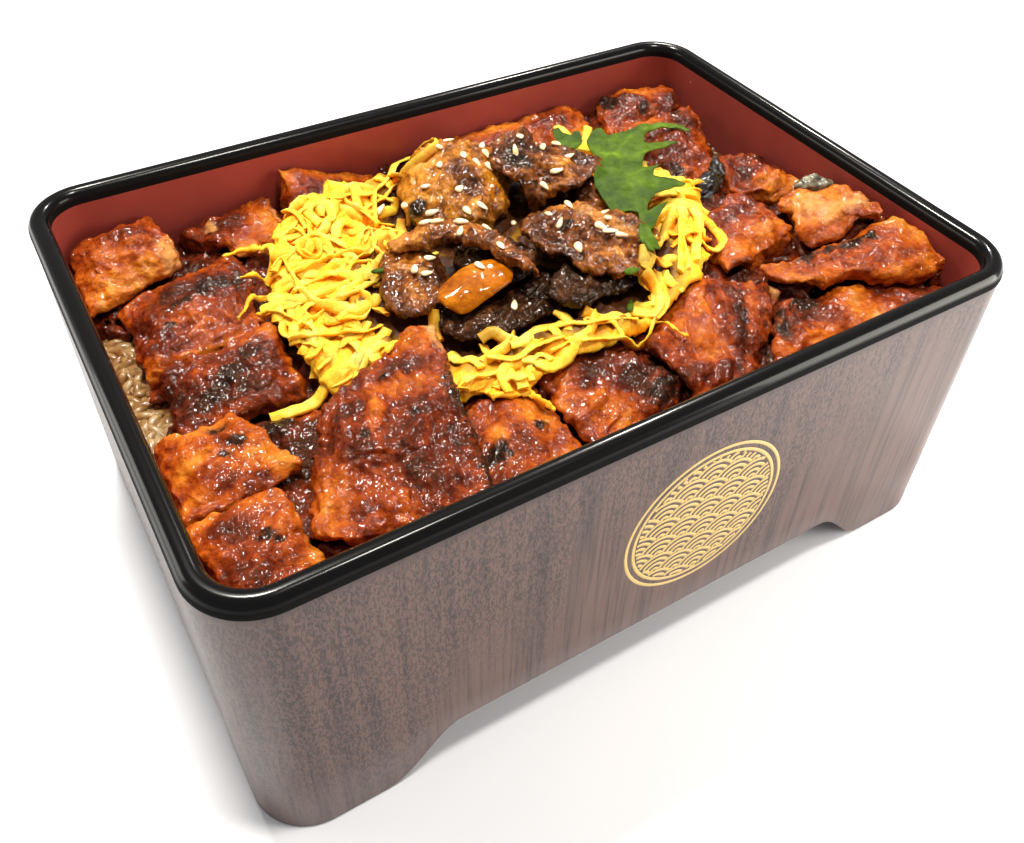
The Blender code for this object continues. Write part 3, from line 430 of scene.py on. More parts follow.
def apply_tree(name, data, tree, values):
    """Runs a geometry tree over a mesh or curve, with inputs set by name, and returns the mesh it makes."""
    thing = link_object(name, data)
    modifier = thing.modifiers.new(tree.name, "NODES")
    modifier.node_group = tree
    for item in tree.interface.items_tree:
        if item.in_out == "INPUT" and item.name in values:
            modifier[item.identifier] = values[item.name]
    thing.update_tag()
    return bake_modifiers(thing)


def mesh_of(name, bm):
    """A mesh from a working mesh, which is freed."""
    mesh = bpy.data.meshes.new(name)
    bm.to_mesh(mesh)
    bm.free()
    return mesh


def merged_copy(node):
    """A closed copy of a solid's mesh, with its doubled vertices merged."""
    bm = bmesh.new()
    bm.from_mesh(frame["nodes"][node].data)
    bmesh.ops.remove_doubles(bm, verts=bm.verts, dist=1e-6)
    return bm


def fine_mesh(name, bm, voxel, smoothing):
    """A dense even mesh of a closed shape, with its hard edges softened."""
    thing = link_object(name, mesh_of(name, bm))
    remesh = thing.modifiers.new("voxels", "REMESH")
    remesh.mode, remesh.voxel_size = "VOXEL", voxel
    soften = thing.modifiers.new("soften", "SMOOTH")
    soften.factor, soften.iterations = 0.5, smoothing
    return bake_modifiers(thing)


def store(mesh, name, values):
    """Stores a number at each vertex."""
    mesh.attributes.new(name, "FLOAT", "POINT").data.foreach_set("value", values)


def paint(mesh, marks):
    """Stores at each vertex how strongly each kind of mark covers it."""
    places = np.empty(len(mesh.vertices) * 3, np.float32)
    mesh.vertices.foreach_get("co", places)
    places = places.reshape(-1, 3) / MM
    for kind in MARKS:
        total = np.zeros(len(places), np.float32)
        for x, y, along, across, turn in marks.get(kind, ()):
            c, s = math.cos(math.radians(turn)), math.sin(math.radians(turn))
            dx, dy = places[:, 0] - x, places[:, 1] - y
            far = np.hypot((dx * c + dy * s) / along, (dy * c - dx * s) / across)
            total = np.maximum(total, np.clip(1.5 - far, 0.0, 1.0))
        store(mesh, kind, total)


def finish_piece(name, mesh, nodes, finish):
    """Links a finished mesh as a piece that rides on the body and stands for its solids."""
    piece = link_object(name, mesh)
    mesh.materials.clear()
    mesh.materials.append(finish)
    mesh.shade_smooth()
    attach(piece, BODY)
    if nodes:
        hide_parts(*nodes)
    return piece


def survey(nodes):
    """A search tree over some solids, and the name of the solid that each of its faces is from."""
    points, faces, owners = [], [], []
    for name in nodes:
        mesh = frame["nodes"][name].data
        start = len(points)
        points += [v.co.copy() for v in mesh.vertices]
        faces += [[start + i for i in face.vertices] for face in mesh.polygons]
        owners += [name] * len(mesh.polygons)
    return BVHTree.FromPolygons(points, faces), owners


def look_down(tree, x, y):
    """What a search tree has highest at a place in plan: the spot, its normal and its face."""
    return tree.ray_cast(Vector((x, y, LOOKOUT)), -UP)[:3]


def top_of(search, x, y):
    """The height and the owner of what lies highest at a place in plan."""
    tree, owners = search
    spot, _, index = look_down(tree, x, y)
    return (spot.z, owners[index]) if spot else (FLOOR_TOP, "")


def length_setting(name, description, default):
    """A length that a user would change."""
    return bpy.props.FloatProperty(
        name=name, description=description, default=default, min=0.0, unit="LENGTH"
    )


def colour_setting(name, description, code):
    """A colour that a user would change."""
    return bpy.props.FloatVectorProperty(
        name=name, description=description, default=linear(code)[:3], subtype="COLOR", size=3
    )


def crusty_tree():
    """Relief on a piece of food: lumps, ridges along its grain and small blisters, along the normals."""
    kinds = ("Lump", "Ridge", "Blister")
    tree, add, get = start_tree(
        "crusty_relief",
        {
            "Lump Size": 6 * MM, "Lump Height": 0.8 * MM, "Ridge Size": 2.5 * MM, "Ridge Height": 0.3 * MM,
            "Grain Angle": 0.0, "Blister Size": 1.6 * MM, "Blister Height": 0.25 * MM, "Waviness": 1.2 * MM,
            "Seed": 0.0,
        },
    )
    place, normal = add("GeometryNodeInputPosition"), add("GeometryNodeInputNormal")
    along = add(
        "ShaderNodeVectorRotate", {"Vector": place, "Angle": get["Grain Angle"]},
        rotation_type="Z_AXIS", invert=True,
    )
    stretched = add("ShaderNodeVectorMath", (along, (0.22, 1.0, 1.0)), operation="MULTIPLY")
    lump, ridge, blister = (
        {
            "Vector": vector, "W": get["Seed"],
            "Scale": add("ShaderNodeMath", (1.0, get[f"{kind} Size"]), operation="DIVIDE"), **values,
        }
        for kind, vector, values in zip(
            kinds, (place, stretched, place),
            ({"Detail": 4.0, "Roughness": 0.58}, {"Detail": 2.0, "Distortion": 0.4}, {"Smoothness": 0.5}),
        )
    )
    fields = (
        add("ShaderNodeTexNoise", lump, noise_dimensions="4D"),
        add("ShaderNodeTexNoise", ridge, noise_dimensions="4D"),
        add("ShaderNodeTexVoronoi", blister, voronoi_dimensions="4D", feature="SMOOTH_F1"),
    )
    total = spread = 0.0
    for kind, field, middle, weight in zip(kinds, fields, (0.5, 0.5, 0.45), (2.0, 2.0, -1.0)):
        height = get[f"{kind} Height"]
        rise = add("ShaderNodeMath", (field, middle), operation="SUBTRACT")
        weighted = add("ShaderNodeMath", (height, weight), operation="MULTIPLY")
        total = add("ShaderNodeMath", (rise, weighted, total), operation="MULTIPLY_ADD")
        spread = add("ShaderNodeMath", (height, spread), operation="ADD")
    drift = add(
        "ShaderNodeTexNoise", {"Vector": place, "Scale": size_to_scale(8), "Detail": 2.0, "Roughness": 0.6},
        out="Color",
    )
    drift = add("ShaderNodeVectorMath", (drift, (0.5, 0.5, 0.5)), operation="SUBTRACT")
    reach = add("ShaderNodeMath", (get["Waviness"], 4.0), operation="MULTIPLY")
    drift = add("ShaderNodeVectorMath", {0: drift, "Scale": reach}, operation="SCALE")
    offset = add("ShaderNodeVectorMath", {0: normal, "Scale": total}, operation="SCALE")
    offset = add("ShaderNodeVectorMath", (offset, drift), operation="ADD")
    moved = add("GeometryNodeSetPosition", {"Geometry": get["Geometry"], "Offset": offset})
    height = add("ShaderNodeMath", (total, spread), operation="DIVIDE")
    stored = add(
        "GeometryNodeStoreNamedAttribute", {"Geometry": moved, "Name": "relief", "Value": height},
        data_type="FLOAT", domain="POINT",
    )
    return end_tree(tree, add, get, stored)


def marked_flesh(add, place, sizes, level, weights):
    """How golden cooked flesh is, from patches, fine mottle, its marks and its relief, whose crests come out
    more golden and hollows darker as painted light and shade. Also returns the patches, the mottle and how
    far it is charred and pale."""
    fields = {
        kind: add(
            "ShaderNodeTexNoise",
            {"Vector": place, "Scale": size_to_scale(size), "Detail": detail, "Roughness": roughness},
        )
        for kind, size, detail, roughness in zip(("patches", "mottle"), sizes, (5.0, 4.0), (0.6, 0.65))
    }
    warm = level - 0.5 * (weights["patches"] + weights["mottle"])
    for kind in ("char", "pale", *weights):
        if kind not in fields:
            fields[kind] = add("ShaderNodeAttribute", out="Fac", attribute_name=kind)
        if kind in weights:
            warm = add("ShaderNodeMath", (fields[kind], weights[kind], warm), operation="MULTIPLY_ADD")
    return warm, *(fields[kind] for kind in ("patches", "mottle", "char", "pale"))


def beaded_syrup(add, place, size, height, roughness):
    """Sticky syrup dried in small domes that each catch a point of light, on flesh with warm gloss."""
    cells = add(
        "ShaderNodeTexVoronoi", {"Vector": place, "Scale": size_to_scale(size), "Smoothness": 0.7},
        feature="SMOOTH_F1",
    )
    domes = add("ShaderNodeBump", {"Strength": 1.0, "Distance": height * MM, "Height": cells}, invert=True)
    return {
        "Coat Normal": domes, "Coat Roughness": roughness, "Coat IOR": 1.46, "Coat Tint": linear("#FFE0B8"),
        "Specular IOR Level": 0.15, "Specular Tint": linear("#F0B478"),
    }


def glazed_eel_material(glaze):
    """Grilled eel under a sweet soy glaze: mottled from golden fat to dark red-brown, blistered black where
    the grill touched it, with a thin wet syrup coat that catches small points of light."""
    finish, add, place = start_material("glazed_grilled_eel")
    # The relief weight makes the crests more golden and the hollows darker: painted light and shade.
    warm, patches, mottle, char, pale = marked_flesh(
        add, place, (7, 1.6), 0.4,
        {"patches": 0.95, "mottle": 0.7, "tone": 0.3, "gold": 0.28, "deep": -0.22, "relief": 0.3},
    )
    stops = (
        (0.0, "#2E120A"), (0.2, "#5A200D"), (0.38, "#883A10"), (0.56, "#AC5A15"), (0.76, "#C48028"),
        (1.0, "#DCA854"),
    )
    colour = add("ShaderNodeValToRGB", (warm,), stops=stops)
    specks, fine = (
        add(
            "ShaderNodeTexNoise",
            {"Vector": place, "Scale": size_to_scale(size), "Detail": detail, "Roughness": roughness},
        )
        for size, detail, roughness in ((2.6, 5.0, 0.7), (0.8, 2.0, 0.5))
    )
    cream = add("ShaderNodeMath", (mottle, 1.2, pale), operation="MULTIPLY_ADD")
    burnt = add("ShaderNodeMath", (specks, 0.5), operation="SUBTRACT")
    burnt = add("ShaderNodeMath", (burnt, 2.6, char), operation="MULTIPLY_ADD")
    cream, black, flecks, roughness, wet = (
        add("ShaderNodeMapRange", row)
        for row in (
            (cream, 0.95, 1.9), (burnt, 0.4, 0.95), (specks, 0.74, 0.82, 0.0, 0.6),
            (mottle, 0.3, 0.7, 0.35, 0.6), (patches, 0.35, 0.55, 0.5 * glaze, glaze),
        )
    )
    black = add("ShaderNodeMath", (black, flecks), operation="MAXIMUM")
    for amount, code in ((cream, "#CDA266"), (black, "#1A0E0A")):
        colour = add("ShaderNodeMix", {0: amount, 6: colour, 7: linear(code)}, out=2, data_type="RGBA")
    return end_material(
        finish,
        {
            "Base Color": colour, "Roughness": roughness, "Coat Weight": wet,
            "Normal": add("ShaderNodeBump", {"Strength": 0.7, "Distance": 0.5 * MM, "Height": fine}),
            "Subsurface Weight": 0.12, "Subsurface Radius": (1.0, 0.35, 0.12), "Subsurface Scale": 2.0 * MM,
            **beaded_syrup(add, place, 1.1, 0.5, 0.08),
        },
    )


def skin_material(name, dark, light):
    """Eel skin: thin and rubbery, smooth and wet, with fine puckers from the heat."""
    finish, add, place = start_material(name)
    puckers = add(
        "ShaderNodeTexNoise", {"Vector": place, "Scale": size_to_scale(1.8), "Detail": 4.0, "Roughness": 0.6}
    )
    return end_material(
        finish,
        {
            "Base Color": add("ShaderNodeValToRGB", (puckers,), stops=((0.35, dark), (0.7, light))),
            "Normal": add("ShaderNodeBump", {"Strength": 0.6, "Distance": 0.6 * MM, "Height": puckers}),
            "Roughness": 0.3, "Coat Weight": 0.8, "Coat Roughness": 0.1,
        },
    )


class FoodSettings(bpy.types.PropertyGroup):
    """Sizes and finishes of the eel."""

    voxel: length_setting("Surface Step", "Spacing of the fine mesh on the eel", 0.45 * MM)
    glaze: bpy.props.FloatProperty(
        name="Glaze", description="Weight of the wet syrup coat on the eel", default=0.7, min=0.0, max=1.0,
        subtype="FACTOR",
    )
    lump: length_setting("Lump Height", "Height of the eel's lumps", 1.4 * MM)


class MEAL_OT_eel(bpy.types.Operator):
    """Grills and glazes every piece of eel"""

    bl_idname = "meal.eel"
    bl_label = "Glazed Eel"

    def execute(self, context):
        settings = context.scene.meal_food
        glaze = glazed_eel_material(settings.glaze)
        relief = crusty_tree()
        for number, (node, (tone, grain, folds, marks)) in enumerate(sorted(EEL_LOOKS.items())):
            mesh = apply_tree(
                node, fine_mesh(node, merged_copy(node), settings.voxel, 14), relief,
                {
                    "Material": glaze, "Lump Size": 6.5 * MM, "Lump Height": settings.lump,
                    "Ridge Size": 3 * MM, "Ridge Height": folds * MM, "Grain Angle": math.radians(grain),
                    "Blister Size": 1.7 * MM, "Blister Height": 0.7 * MM, "Seed": 3.7 * number,
                },
            )
            paint(mesh, marks)
            store(mesh, "tone", np.full(len(mesh.vertices), tone, np.float32))
            finish_piece(f"glazed_{node}", mesh, [node], glaze)
        for node, dark, light, slot in (
            ("skin_black", "#0E0C0C", "#2A2422", "charred_skin"),
            ("skin_grey", "#3E3A2C", "#8C8468", "grey_skin"),
        ):
            finish = skin_material(f"{node}_wet_eel_skin", dark, light)
            mesh = apply_tree(
                node, fine_mesh(node, merged_copy(node), settings.voxel, 6), relief,
                {
                    "Material": finish, "Lump Size": 3.5 * MM, "Lump Height": 1.5 * MM, "Ridge Size": 2 * MM,
                    "Ridge Height": 1 * MM,
                },
            )
            finish_piece(f"wet_{node}", mesh, [node], finish)
        return {"FINISHED"}


class MEAL_OT_flakes(bpy.types.Operator):
    """Packs flakes of eel into the narrow gaps between the pieces"""

    bl_idname = "meal.flakes"
    bl_label = "Flakes in the Gaps"

    def execute(self, context):
        low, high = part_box("rice")
        step, reach, drop, underside = 0.8 * MM, 5, 4 * MM, 56 * MM
        search = survey([n for n in frame["nodes"] if n not in ("box", "leaf")])
        xs, ys = np.arange(low.x, high.x, step), np.arange(low.y, high.y, step)
        tops = [[top_of(search, x, y) for y in ys] for x in xs]
        heights = np.array([[height for height, _ in row] for row in tops])
        bare = np.array([[owner == "rice" for _, owner in row] for row in tops])
        bridged = self.spread(self.spread(heights, reach, np.max), reach, np.min)
        filled = self.spread(bare & (bridged - drop > heights + 0.3 * MM), 2, np.max)
        bm = bmesh.new()
        corners = {}
        for i, j in zip(*np.nonzero(filled[:-1, :-1])):
            ring = ((i, j), (i + 1, j), (i + 1, j + 1), (i, j + 1))
            for a, b in ring:
                if (a, b) not in corners:
                    corners[a, b] = bm.verts.new((xs[a], ys[b], bridged[a, b] - drop))
            bm.faces.new([corners[corner] for corner in ring])
        for part in bmesh.ops.extrude_face_region(bm, geom=list(bm.faces))["geom"]:
            if isinstance(part, bmesh.types.BMVert):
                part.co.z = underside
        bmesh.ops.recalc_face_normals(bm, faces=bm.faces)
        glaze = bpy.data.materials["glazed_grilled_eel"]
        mesh = apply_tree(
            "eel_flakes", fine_mesh("eel_flakes", bm, 0.6 * MM, 4), bpy.data.node_groups["crusty_relief"],
            {
                "Material": glaze, "Lump Size": 3.2 * MM, "Lump Height": 1.8 * MM, "Ridge Size": 1.8 * MM,
                "Ridge Height": 1.0 * MM, "Grain Angle": 0.9, "Blister Height": 0.5 * MM,
            },
        )
        # The flakes are the darkest eel: partly sauce-soaked flesh, partly painted shade of the narrow gaps
        # they fill.
        store(mesh, "tone", np.full(len(mesh.vertices), -0.9, np.float32))
        finish_piece("eel_flakes", mesh, [], glaze)
        return {"FINISHED"}

    def spread(self, field, reach, pick):
        """Each cell takes the highest or lowest value round it."""
        rows, columns = field.shape
        padded = np.pad(field, reach, mode="edge")
        round_it = [
            padded[i : i + rows, j : j + columns]
            for i in range(2 * reach + 1) for j in range(2 * reach + 1)
            if (i - reach) ** 2 + (j - reach) ** 2 <= reach * reach
        ]
        return pick(round_it, axis=0)


class BoxSettings(bpy.types.PropertyGroup):
    """Colours of the lacquered box and its ornament."""

    print_light: colour_setting("Print Ground", "Ground colour of the wood-grain print", "#644A42")
    print_dark: colour_setting("Print Grain", "Colour of the grain in the print", "#2E2120")
    inside: colour_setting("Inside", "Red-brown lacquer inside the box", "#9C443A")
    rim: colour_setting("Rim", "Black lacquer of the rim", "#0B0A0A")
    gold: colour_setting("Gold", "Pale gold of the printed ornament", "#D6B873")
    roundel: length_setting("Ornament Width", "Width of the gold wave ornament", 41 * MM)


def arch_height(along, flat_half):
    """The height of the wall's lower edge between two feet."""
    t = share((abs(along) - flat_half) / ARCH_SLOPE_RUN)
    return ARCH_RISE * (1 - t * t * (3 - 2 * t))


def wall_loop(inset, height, arched=False):
    """Points once round the box, moved inwards by the inset, and raised over the arches if asked."""
    half_x, half_y = HALF_LENGTH - CORNER_RADIUS, HALF_DEPTH - CORNER_RADIUS
    radius = CORNER_RADIUS - inset
    centres = ((half_x, half_y), (-half_x, half_y), (-half_x, -half_y), (half_x, -half_y))
    points = []
    for quarter, (x, y) in enumerate(centres):
        for i in range(CORNER_STEPS + 1):
            angle = math.radians(90 * (quarter + i / CORNER_STEPS))
            points.append(Vector((x + radius * math.cos(angle), y + radius * math.sin(angle), height)))
        start = points[-1]
        end = Vector((*centres[(quarter + 1) % 4], height)) + (start - Vector((x, y, height)))
        steps, flat_half = ((LONG_STEPS, LONG_ARCH_HALF), (SHORT_STEPS, SHORT_ARCH_HALF))[quarter % 2]
        for i in range(1, steps):
            point = start.lerp(end, i / steps)
            if arched:
                point.z += arch_height(point.y if quarter % 2 else point.x, flat_half)
            points.append(point)
    return points


def loft(name, stops, ring=False):
    """A closed mesh through loops of the wall at these stops, joined into a ring or capped at both ends."""
    bm = bmesh.new()
    rows = [[bm.verts.new(point) for point in wall_loop(*stop)] for stop in stops]
    pairs = list(zip(rows, rows[1:]))
    if ring:
        pairs.append((rows[-1], rows[0]))
    else:
        bm.faces.new(rows[0])
        bm.faces.new(rows[-1])
    for low, high in pairs:
        for i in range(len(low)):
            j = (i + 1) % len(low)
            bm.faces.new((low[i], low[j], high[j], high[i]))
    bmesh.ops.recalc_face_normals(bm, faces=bm.faces)
    return mesh_of(name, bm)


def quarter_round(centre_inset, centre_height, radius, start, steps, way=1):
    """(inset, height) stops along a quarter circle that begins at an angle in degrees."""
    angles = [math.radians(start - 90 * i / steps) for i in range(steps + 1)]
    return [(centre_inset + radius * math.cos(a), centre_height + way * radius * math.sin(a)) for a in angles]


def printed_wall_material(settings):
    """ABS with a transfer print of dark wood: fine upright grain lines about 1 mm apart, with patches where
    the figure breaks into short wavy marks, under a satin clear coat. A band just under the rim is darkened
    as a painted shadow of the rim."""
    finish, add, place = start_material("wood_grain_print_on_abs")
    upright, short, broad = (
        add("ShaderNodeVectorMath", (place, (1.0, 1.0, squeeze)), operation="MULTIPLY")
        for squeeze in (0.035, 0.35, 0.1)
    )
    grain, bands, patch, marks = (
        add(
            "ShaderNodeTexNoise",
            {
                "Vector": way, "Scale": size_to_scale(size), "Detail": detail, "Roughness": roughness,
                "Distortion": warp,
            },
        )
        for way, size, detail, roughness, warp in (
            (upright, 0.9, 3.0, 0.6, 0.0), (upright, 4.5, 2.0, 0.6, 0.0),
            (broad, 24, 2.0, 0.5, 0.0), (short, 0.5, 0.0, 0.5, 1.2),
        )
    )
    x, _, z = add("ShaderNodeSeparateXYZ", (place,)).node.outputs
    leftward = add("ShaderNodeMath", (x, -2.2, patch), operation="MULTIPLY_ADD")
    leftward = add("ShaderNodeMath", (z, 6.0, leftward), operation="MULTIPLY_ADD")
    # One of these rows is a painted shadow: a dark band from 71 to 74 mm up, just under the rim.
    figured, fine, wavy, bands, rim_shadow, foot_edge = (
        add("ShaderNodeMapRange", row)
        for row in (
            (leftward, 0.68, 0.85), (grain, 0.45, 0.72), (marks, 0.46, 0.56), (bands, 0.4, 0.7, -0.1, 0.3),
            (z, 71 * MM, 74 * MM, 0.0, 0.9), (z, 0.5 * MM, 1.2 * MM, 1.2, 0.0),
        )
    )
    wavy = add("ShaderNodeMath", (wavy, 0.75), operation="MULTIPLY")
    wavy = add("ShaderNodeMath", (fine, 0.45, wavy), operation="MULTIPLY_ADD")
    dark = add("ShaderNodeMix", {0: figured, 2: fine, 3: wavy}, data_type="FLOAT")
    dark = add("ShaderNodeMath", (dark, 0.85, bands), operation="MULTIPLY_ADD")
    # Lays on the painted shadow under the rim and the dark bottom edge of the feet.
    for edge in (rim_shadow, foot_edge):
        dark = add("ShaderNodeMath", (dark, edge), operation="MAXIMUM")
    colours = {6: (*settings.print_light, 1.0), 7: (*settings.print_dark, 1.0)}
    return end_material(
        finish,
        {
            "Base Color": add("ShaderNodeMix", {0: dark, **colours}, out=2, data_type="RGBA"),
            "Normal": add("ShaderNodeBump", {"Strength": 0.12, "Distance": 0.05 * MM, "Height": grain}),
            "Roughness": 0.4, "Specular IOR Level": 0.35, "Coat Weight": 0.15, "Coat Roughness": 0.2,
        },
    )


def clouded(add, place, colour, size, detail, roughness, darkest, lightest):
    """A colour with faint clouds of this size in it."""
    clouds = add(
        "ShaderNodeTexNoise",
        {"Vector": place, "Scale": size_to_scale(size), "Detail": detail, "Roughness": roughness},
    )
    shade = add("ShaderNodeMapRange", (clouds, 0.3, 0.7, darkest, lightest))
    return add("ShaderNodeVectorMath", {0: tuple(colour), "Scale": shade}, operation="SCALE")


def lacquer_material(name, colour, roughness, coat, dull_below=-1.0):
    """Sprayed lacquer on moulded ABS: an even colour with faint clouds and a slight orange-peel ripple.
    Below a height the polish ends and the surface is dull."""
    finish, add, place = start_material(name)
    peel = add("ShaderNodeTexNoise", {"Vector": place, "Scale": size_to_scale(1.5), "Detail": 1.0})
    height = add("ShaderNodeSeparateXYZ", (place,), out=2)
    roughness, coat = (
        add("ShaderNodeMapRange", (height, dull_below, dull_below + 0.9 * MM, dull, polished))
        for dull, polished in ((0.9, roughness), (0.0, coat))
    )
    return end_material(
        finish,
        {
            "Base Color": clouded(add, place, colour, 30, 3.0, 0.6, 0.82, 1.12), "Roughness": roughness,
            "Coat Normal": add("ShaderNodeBump", {"Strength": 0.06, "Distance": 0.03 * MM, "Height": peel}),
            "Coat Weight": coat, "Coat Roughness": 0.06, "Coat IOR": 1.25, "Specular IOR Level": 0.15,
        },
    )


def gold_material(colour):
    """Pale gold screen ink: flat and matte with a faint metallic speckle of flake."""
    finish, add, place = start_material("pale_gold_screen_ink")
    speckled = clouded(add, place, colour, 0.5, 2.0, 0.7, 0.86, 1.1)
    return end_material(finish, {"Base Color": speckled, "Roughness": 0.45, "Metallic": 0.15})


def ribbon_tree():
    """Sweeps a flat, round-edged section along every curve: gold lines and shreds of omelette alike."""
    tree, add, get = start_tree(
        "swept_ribbon",
        {"Width": 1 * MM, "Thickness": 0.1 * MM, "Sides": 4, "Unevenness": 0.0, "Uneven Size": 2 * MM},
    )
    upright = add("GeometryNodeSetCurveNormal", {"Curve": get["Geometry"]}, mode="Z_UP")
    circle = add(
        "GeometryNodeCurvePrimitiveCircle", {"Resolution": get["Sides"], "Radius": 0.5}, mode="RADIUS"
    )
    flat = add("ShaderNodeCombineXYZ", (get["Width"], get["Thickness"], 1.0))
    section = add("GeometryNodeTransform", {"Geometry": circle, "Scale": flat})
    swept = add("GeometryNodeCurveToMesh", {"Curve": upright, "Profile Curve": section, "Fill Caps": True})
    scale = add("ShaderNodeMath", (1.0, get["Uneven Size"]), operation="DIVIDE")
    place = add("GeometryNodeInputPosition")
    bumps = add("ShaderNodeTexNoise", {"Vector": place, "Scale": scale, "Detail": 2.0})
    bumps = add("ShaderNodeMath", (bumps, 0.5), operation="SUBTRACT")
    rise = add("ShaderNodeMath", (bumps, get["Unevenness"]), operation="MULTIPLY")
    normal = add("GeometryNodeInputNormal")
    offset = add("ShaderNodeVectorMath", {0: normal, "Scale": rise}, operation="SCALE")
    return end_tree(tree, add, get, add("GeometryNodeSetPosition", {"Geometry": swept, "Offset": offset}))


def curve_of(name, lines, cyclic=()):
    """A curve object's data from lines of (x, y, z, radius, tilt) stops."""
    data = bpy.data.curves.new(name, "CURVE")
    data.dimensions = "3D"
    for i, line in enumerate(lines):
        spline = data.splines.new("POLY")
        spline.points.add(len(line) - 1)
        for stop, (x, y, z, radius, tilt) in zip(spline.points, line):
            stop.co, stop.radius, stop.tilt = (x, y, z, 1.0), radius, tilt
        spline.use_cyclic_u = i in cyclic
    return data


def wave_lines(radius, scale):
    """Traditional wave scales that fill a circle: the arcs stop where the row in front covers them."""
    lines = []
    rows = int(radius / (scale / 2)) + 3
    for row in range(-rows, rows + 1):
        for column in range(-4, 5):
            x0, y0 = (2 * column + row % 2) * scale, row * scale / 2
            covers = ((x0 - scale, y0 - scale / 2), (x0 + scale, y0 - scale / 2), (x0, y0 - scale))
            for arc in (0.93, 0.67, 0.41, 0.15):
                run = []
                for step in range(61):
                    angle = math.radians(-30 + 4 * step)
                    x, y = x0 + arc * scale * math.cos(angle), y0 + arc * scale * math.sin(angle)
                    clear = all(math.hypot(x - cx, y - cy) > scale for cx, cy in covers)
                    if clear and math.hypot(x, y) < radius:
                        run.append((x, y, 0.0, 1.0, 0.0))
                    else:
                        lines.append(run)
                        run = []
                lines.append(run)
    return [line for line in lines if len(line) > 2]


class MEAL_OT_box(bpy.types.Operator):
    """Moulds the box: printed walls on four feet, a red-brown lining and a glossy black rim"""

    bl_idname = "meal.box"
    bl_label = "Lacquered Box"

    def execute(self, context):
        settings = context.scene.meal_box
        inner = WALL - LINING
        hidden = [(inner, FLOOR_TOP - LINING), (inner, RIM_LOW)]
        foot = [(0, FOOT_ROUND), (0.18 * MM, 0.18 * MM), (FOOT_ROUND, 0)]
        foot += [(WALL - inset, height) for inset, height in reversed(foot)]
        walls = hidden + [(0, height) for height in (RIM_LOW, 60 * MM, 46 * MM, 32 * MM, 20 * MM)]
        walls += [(inset, height, True) for inset, height in foot]
        walls += [(WALL, FLOOR_UNDERSIDE - 1.5 * MM), (WALL + 1.5 * MM, FLOOR_UNDERSIDE)]
        lining = hidden + [(WALL, RIM_LOW)]
        lining += quarter_round(WALL + COVE, FLOOR_TOP + COVE, COVE, 180, 5, way=-1)
        rim = [(0, RIM_LOW)]
        for turn in (math.radians(9 * i) for i in range(11)):
            inset = RIM_ROUND - (RIM_ROUND + RIM_LIP) * math.cos(turn)
            rim.append((inset, RIM_LOW + RIM_DROP * (0.05 + 0.95 * math.sin(turn))))
        rim += quarter_round(WALL - RIM_ROUND, BOX_HEIGHT - RIM_ROUND, RIM_ROUND, 90, 15) + [(WALL, RIM_LOW)]
        red = lacquer_material("red_brown_lacquer", settings.inside, 0.38, 0.3)
        black = lacquer_material("black_gloss_lacquer", settings.rim, 0.2, 0.5, dull_below=RIM_LOW + 1.4 * MM)
        for name, stops, ring, slot, finish in (
            ("box_printed_walls", walls, False, "box_print", printed_wall_material(settings)),
            ("box_lining", lining, False, "box_inside", red),
            ("box_rim", rim, True, "box_rim", black),
        ):
            piece = finish_piece(name, loft(name, stops, ring), ["box"], finish)
            piece.data.set_sharp_from_angle(angle=math.radians(40))
        self.print_ornament(settings)
        return {"FINISHED"}

    def print_ornament(self, settings):
        """A gold roundel of waves on the front wall, in place of lettering."""
        outer = settings.roundel / 2
        circle = [math.tau * i / 96 for i in range(96)]
        rings = [
            [(radius * math.cos(a), radius * math.sin(a), 0.0, weight, 0.0) for a in circle]
            for radius, weight in ((outer - 0.8 * MM, 1.9), (outer - 2.6 * MM, 0.7))
        ]
        data = curve_of("wave_roundel", rings + wave_lines(outer - 3.2 * MM, 5.6 * MM), cyclic=(0, 1))
        gold = gold_material(settings.gold)
        mesh = apply_tree(
            "wave_roundel", data, ribbon_tree(),
            {"Material": gold, "Width": 0.85 * MM, "Thickness": 0.12 * MM, "Sides": 6},
        )
        stand = Matrix.Rotation(math.radians(90), 4, "X")
        mesh.transform(Matrix.Translation((ORNAMENT_MIDDLE[0], -HALF_DEPTH, ORNAMENT_MIDDLE[1])) @ stand)
        finish_piece("gold_wave_roundel", mesh, [], gold)


def inside(edge, x, y):
    """Whether a place in mm lies within an outline."""
    crossings = 0
    for (ax, ay), (bx, by) in zip(edge, edge[1:] + edge[:1]):
        if (ay > y) != (by > y) and x < ax + (y - ay) * (bx - ax) / (by - ay):
            crossings += 1
    return crossings % 2 == 1


class EggSettings(bpy.types.PropertyGroup):
    """Sizes of the shredded omelette."""

    count: bpy.props.IntProperty(
        name="Shreds", description="Number of loose shreds of egg", default=250, min=0
    )
    width: length_setting("Width", "Usual width of a shred", 2.7 * MM)
    thickness: length_setting("Thickness", "Thickness of the omelette", 0.75 * MM)
    seed: bpy.props.IntProperty(name="Seed", description="Changes how the shreds fall", default=4)


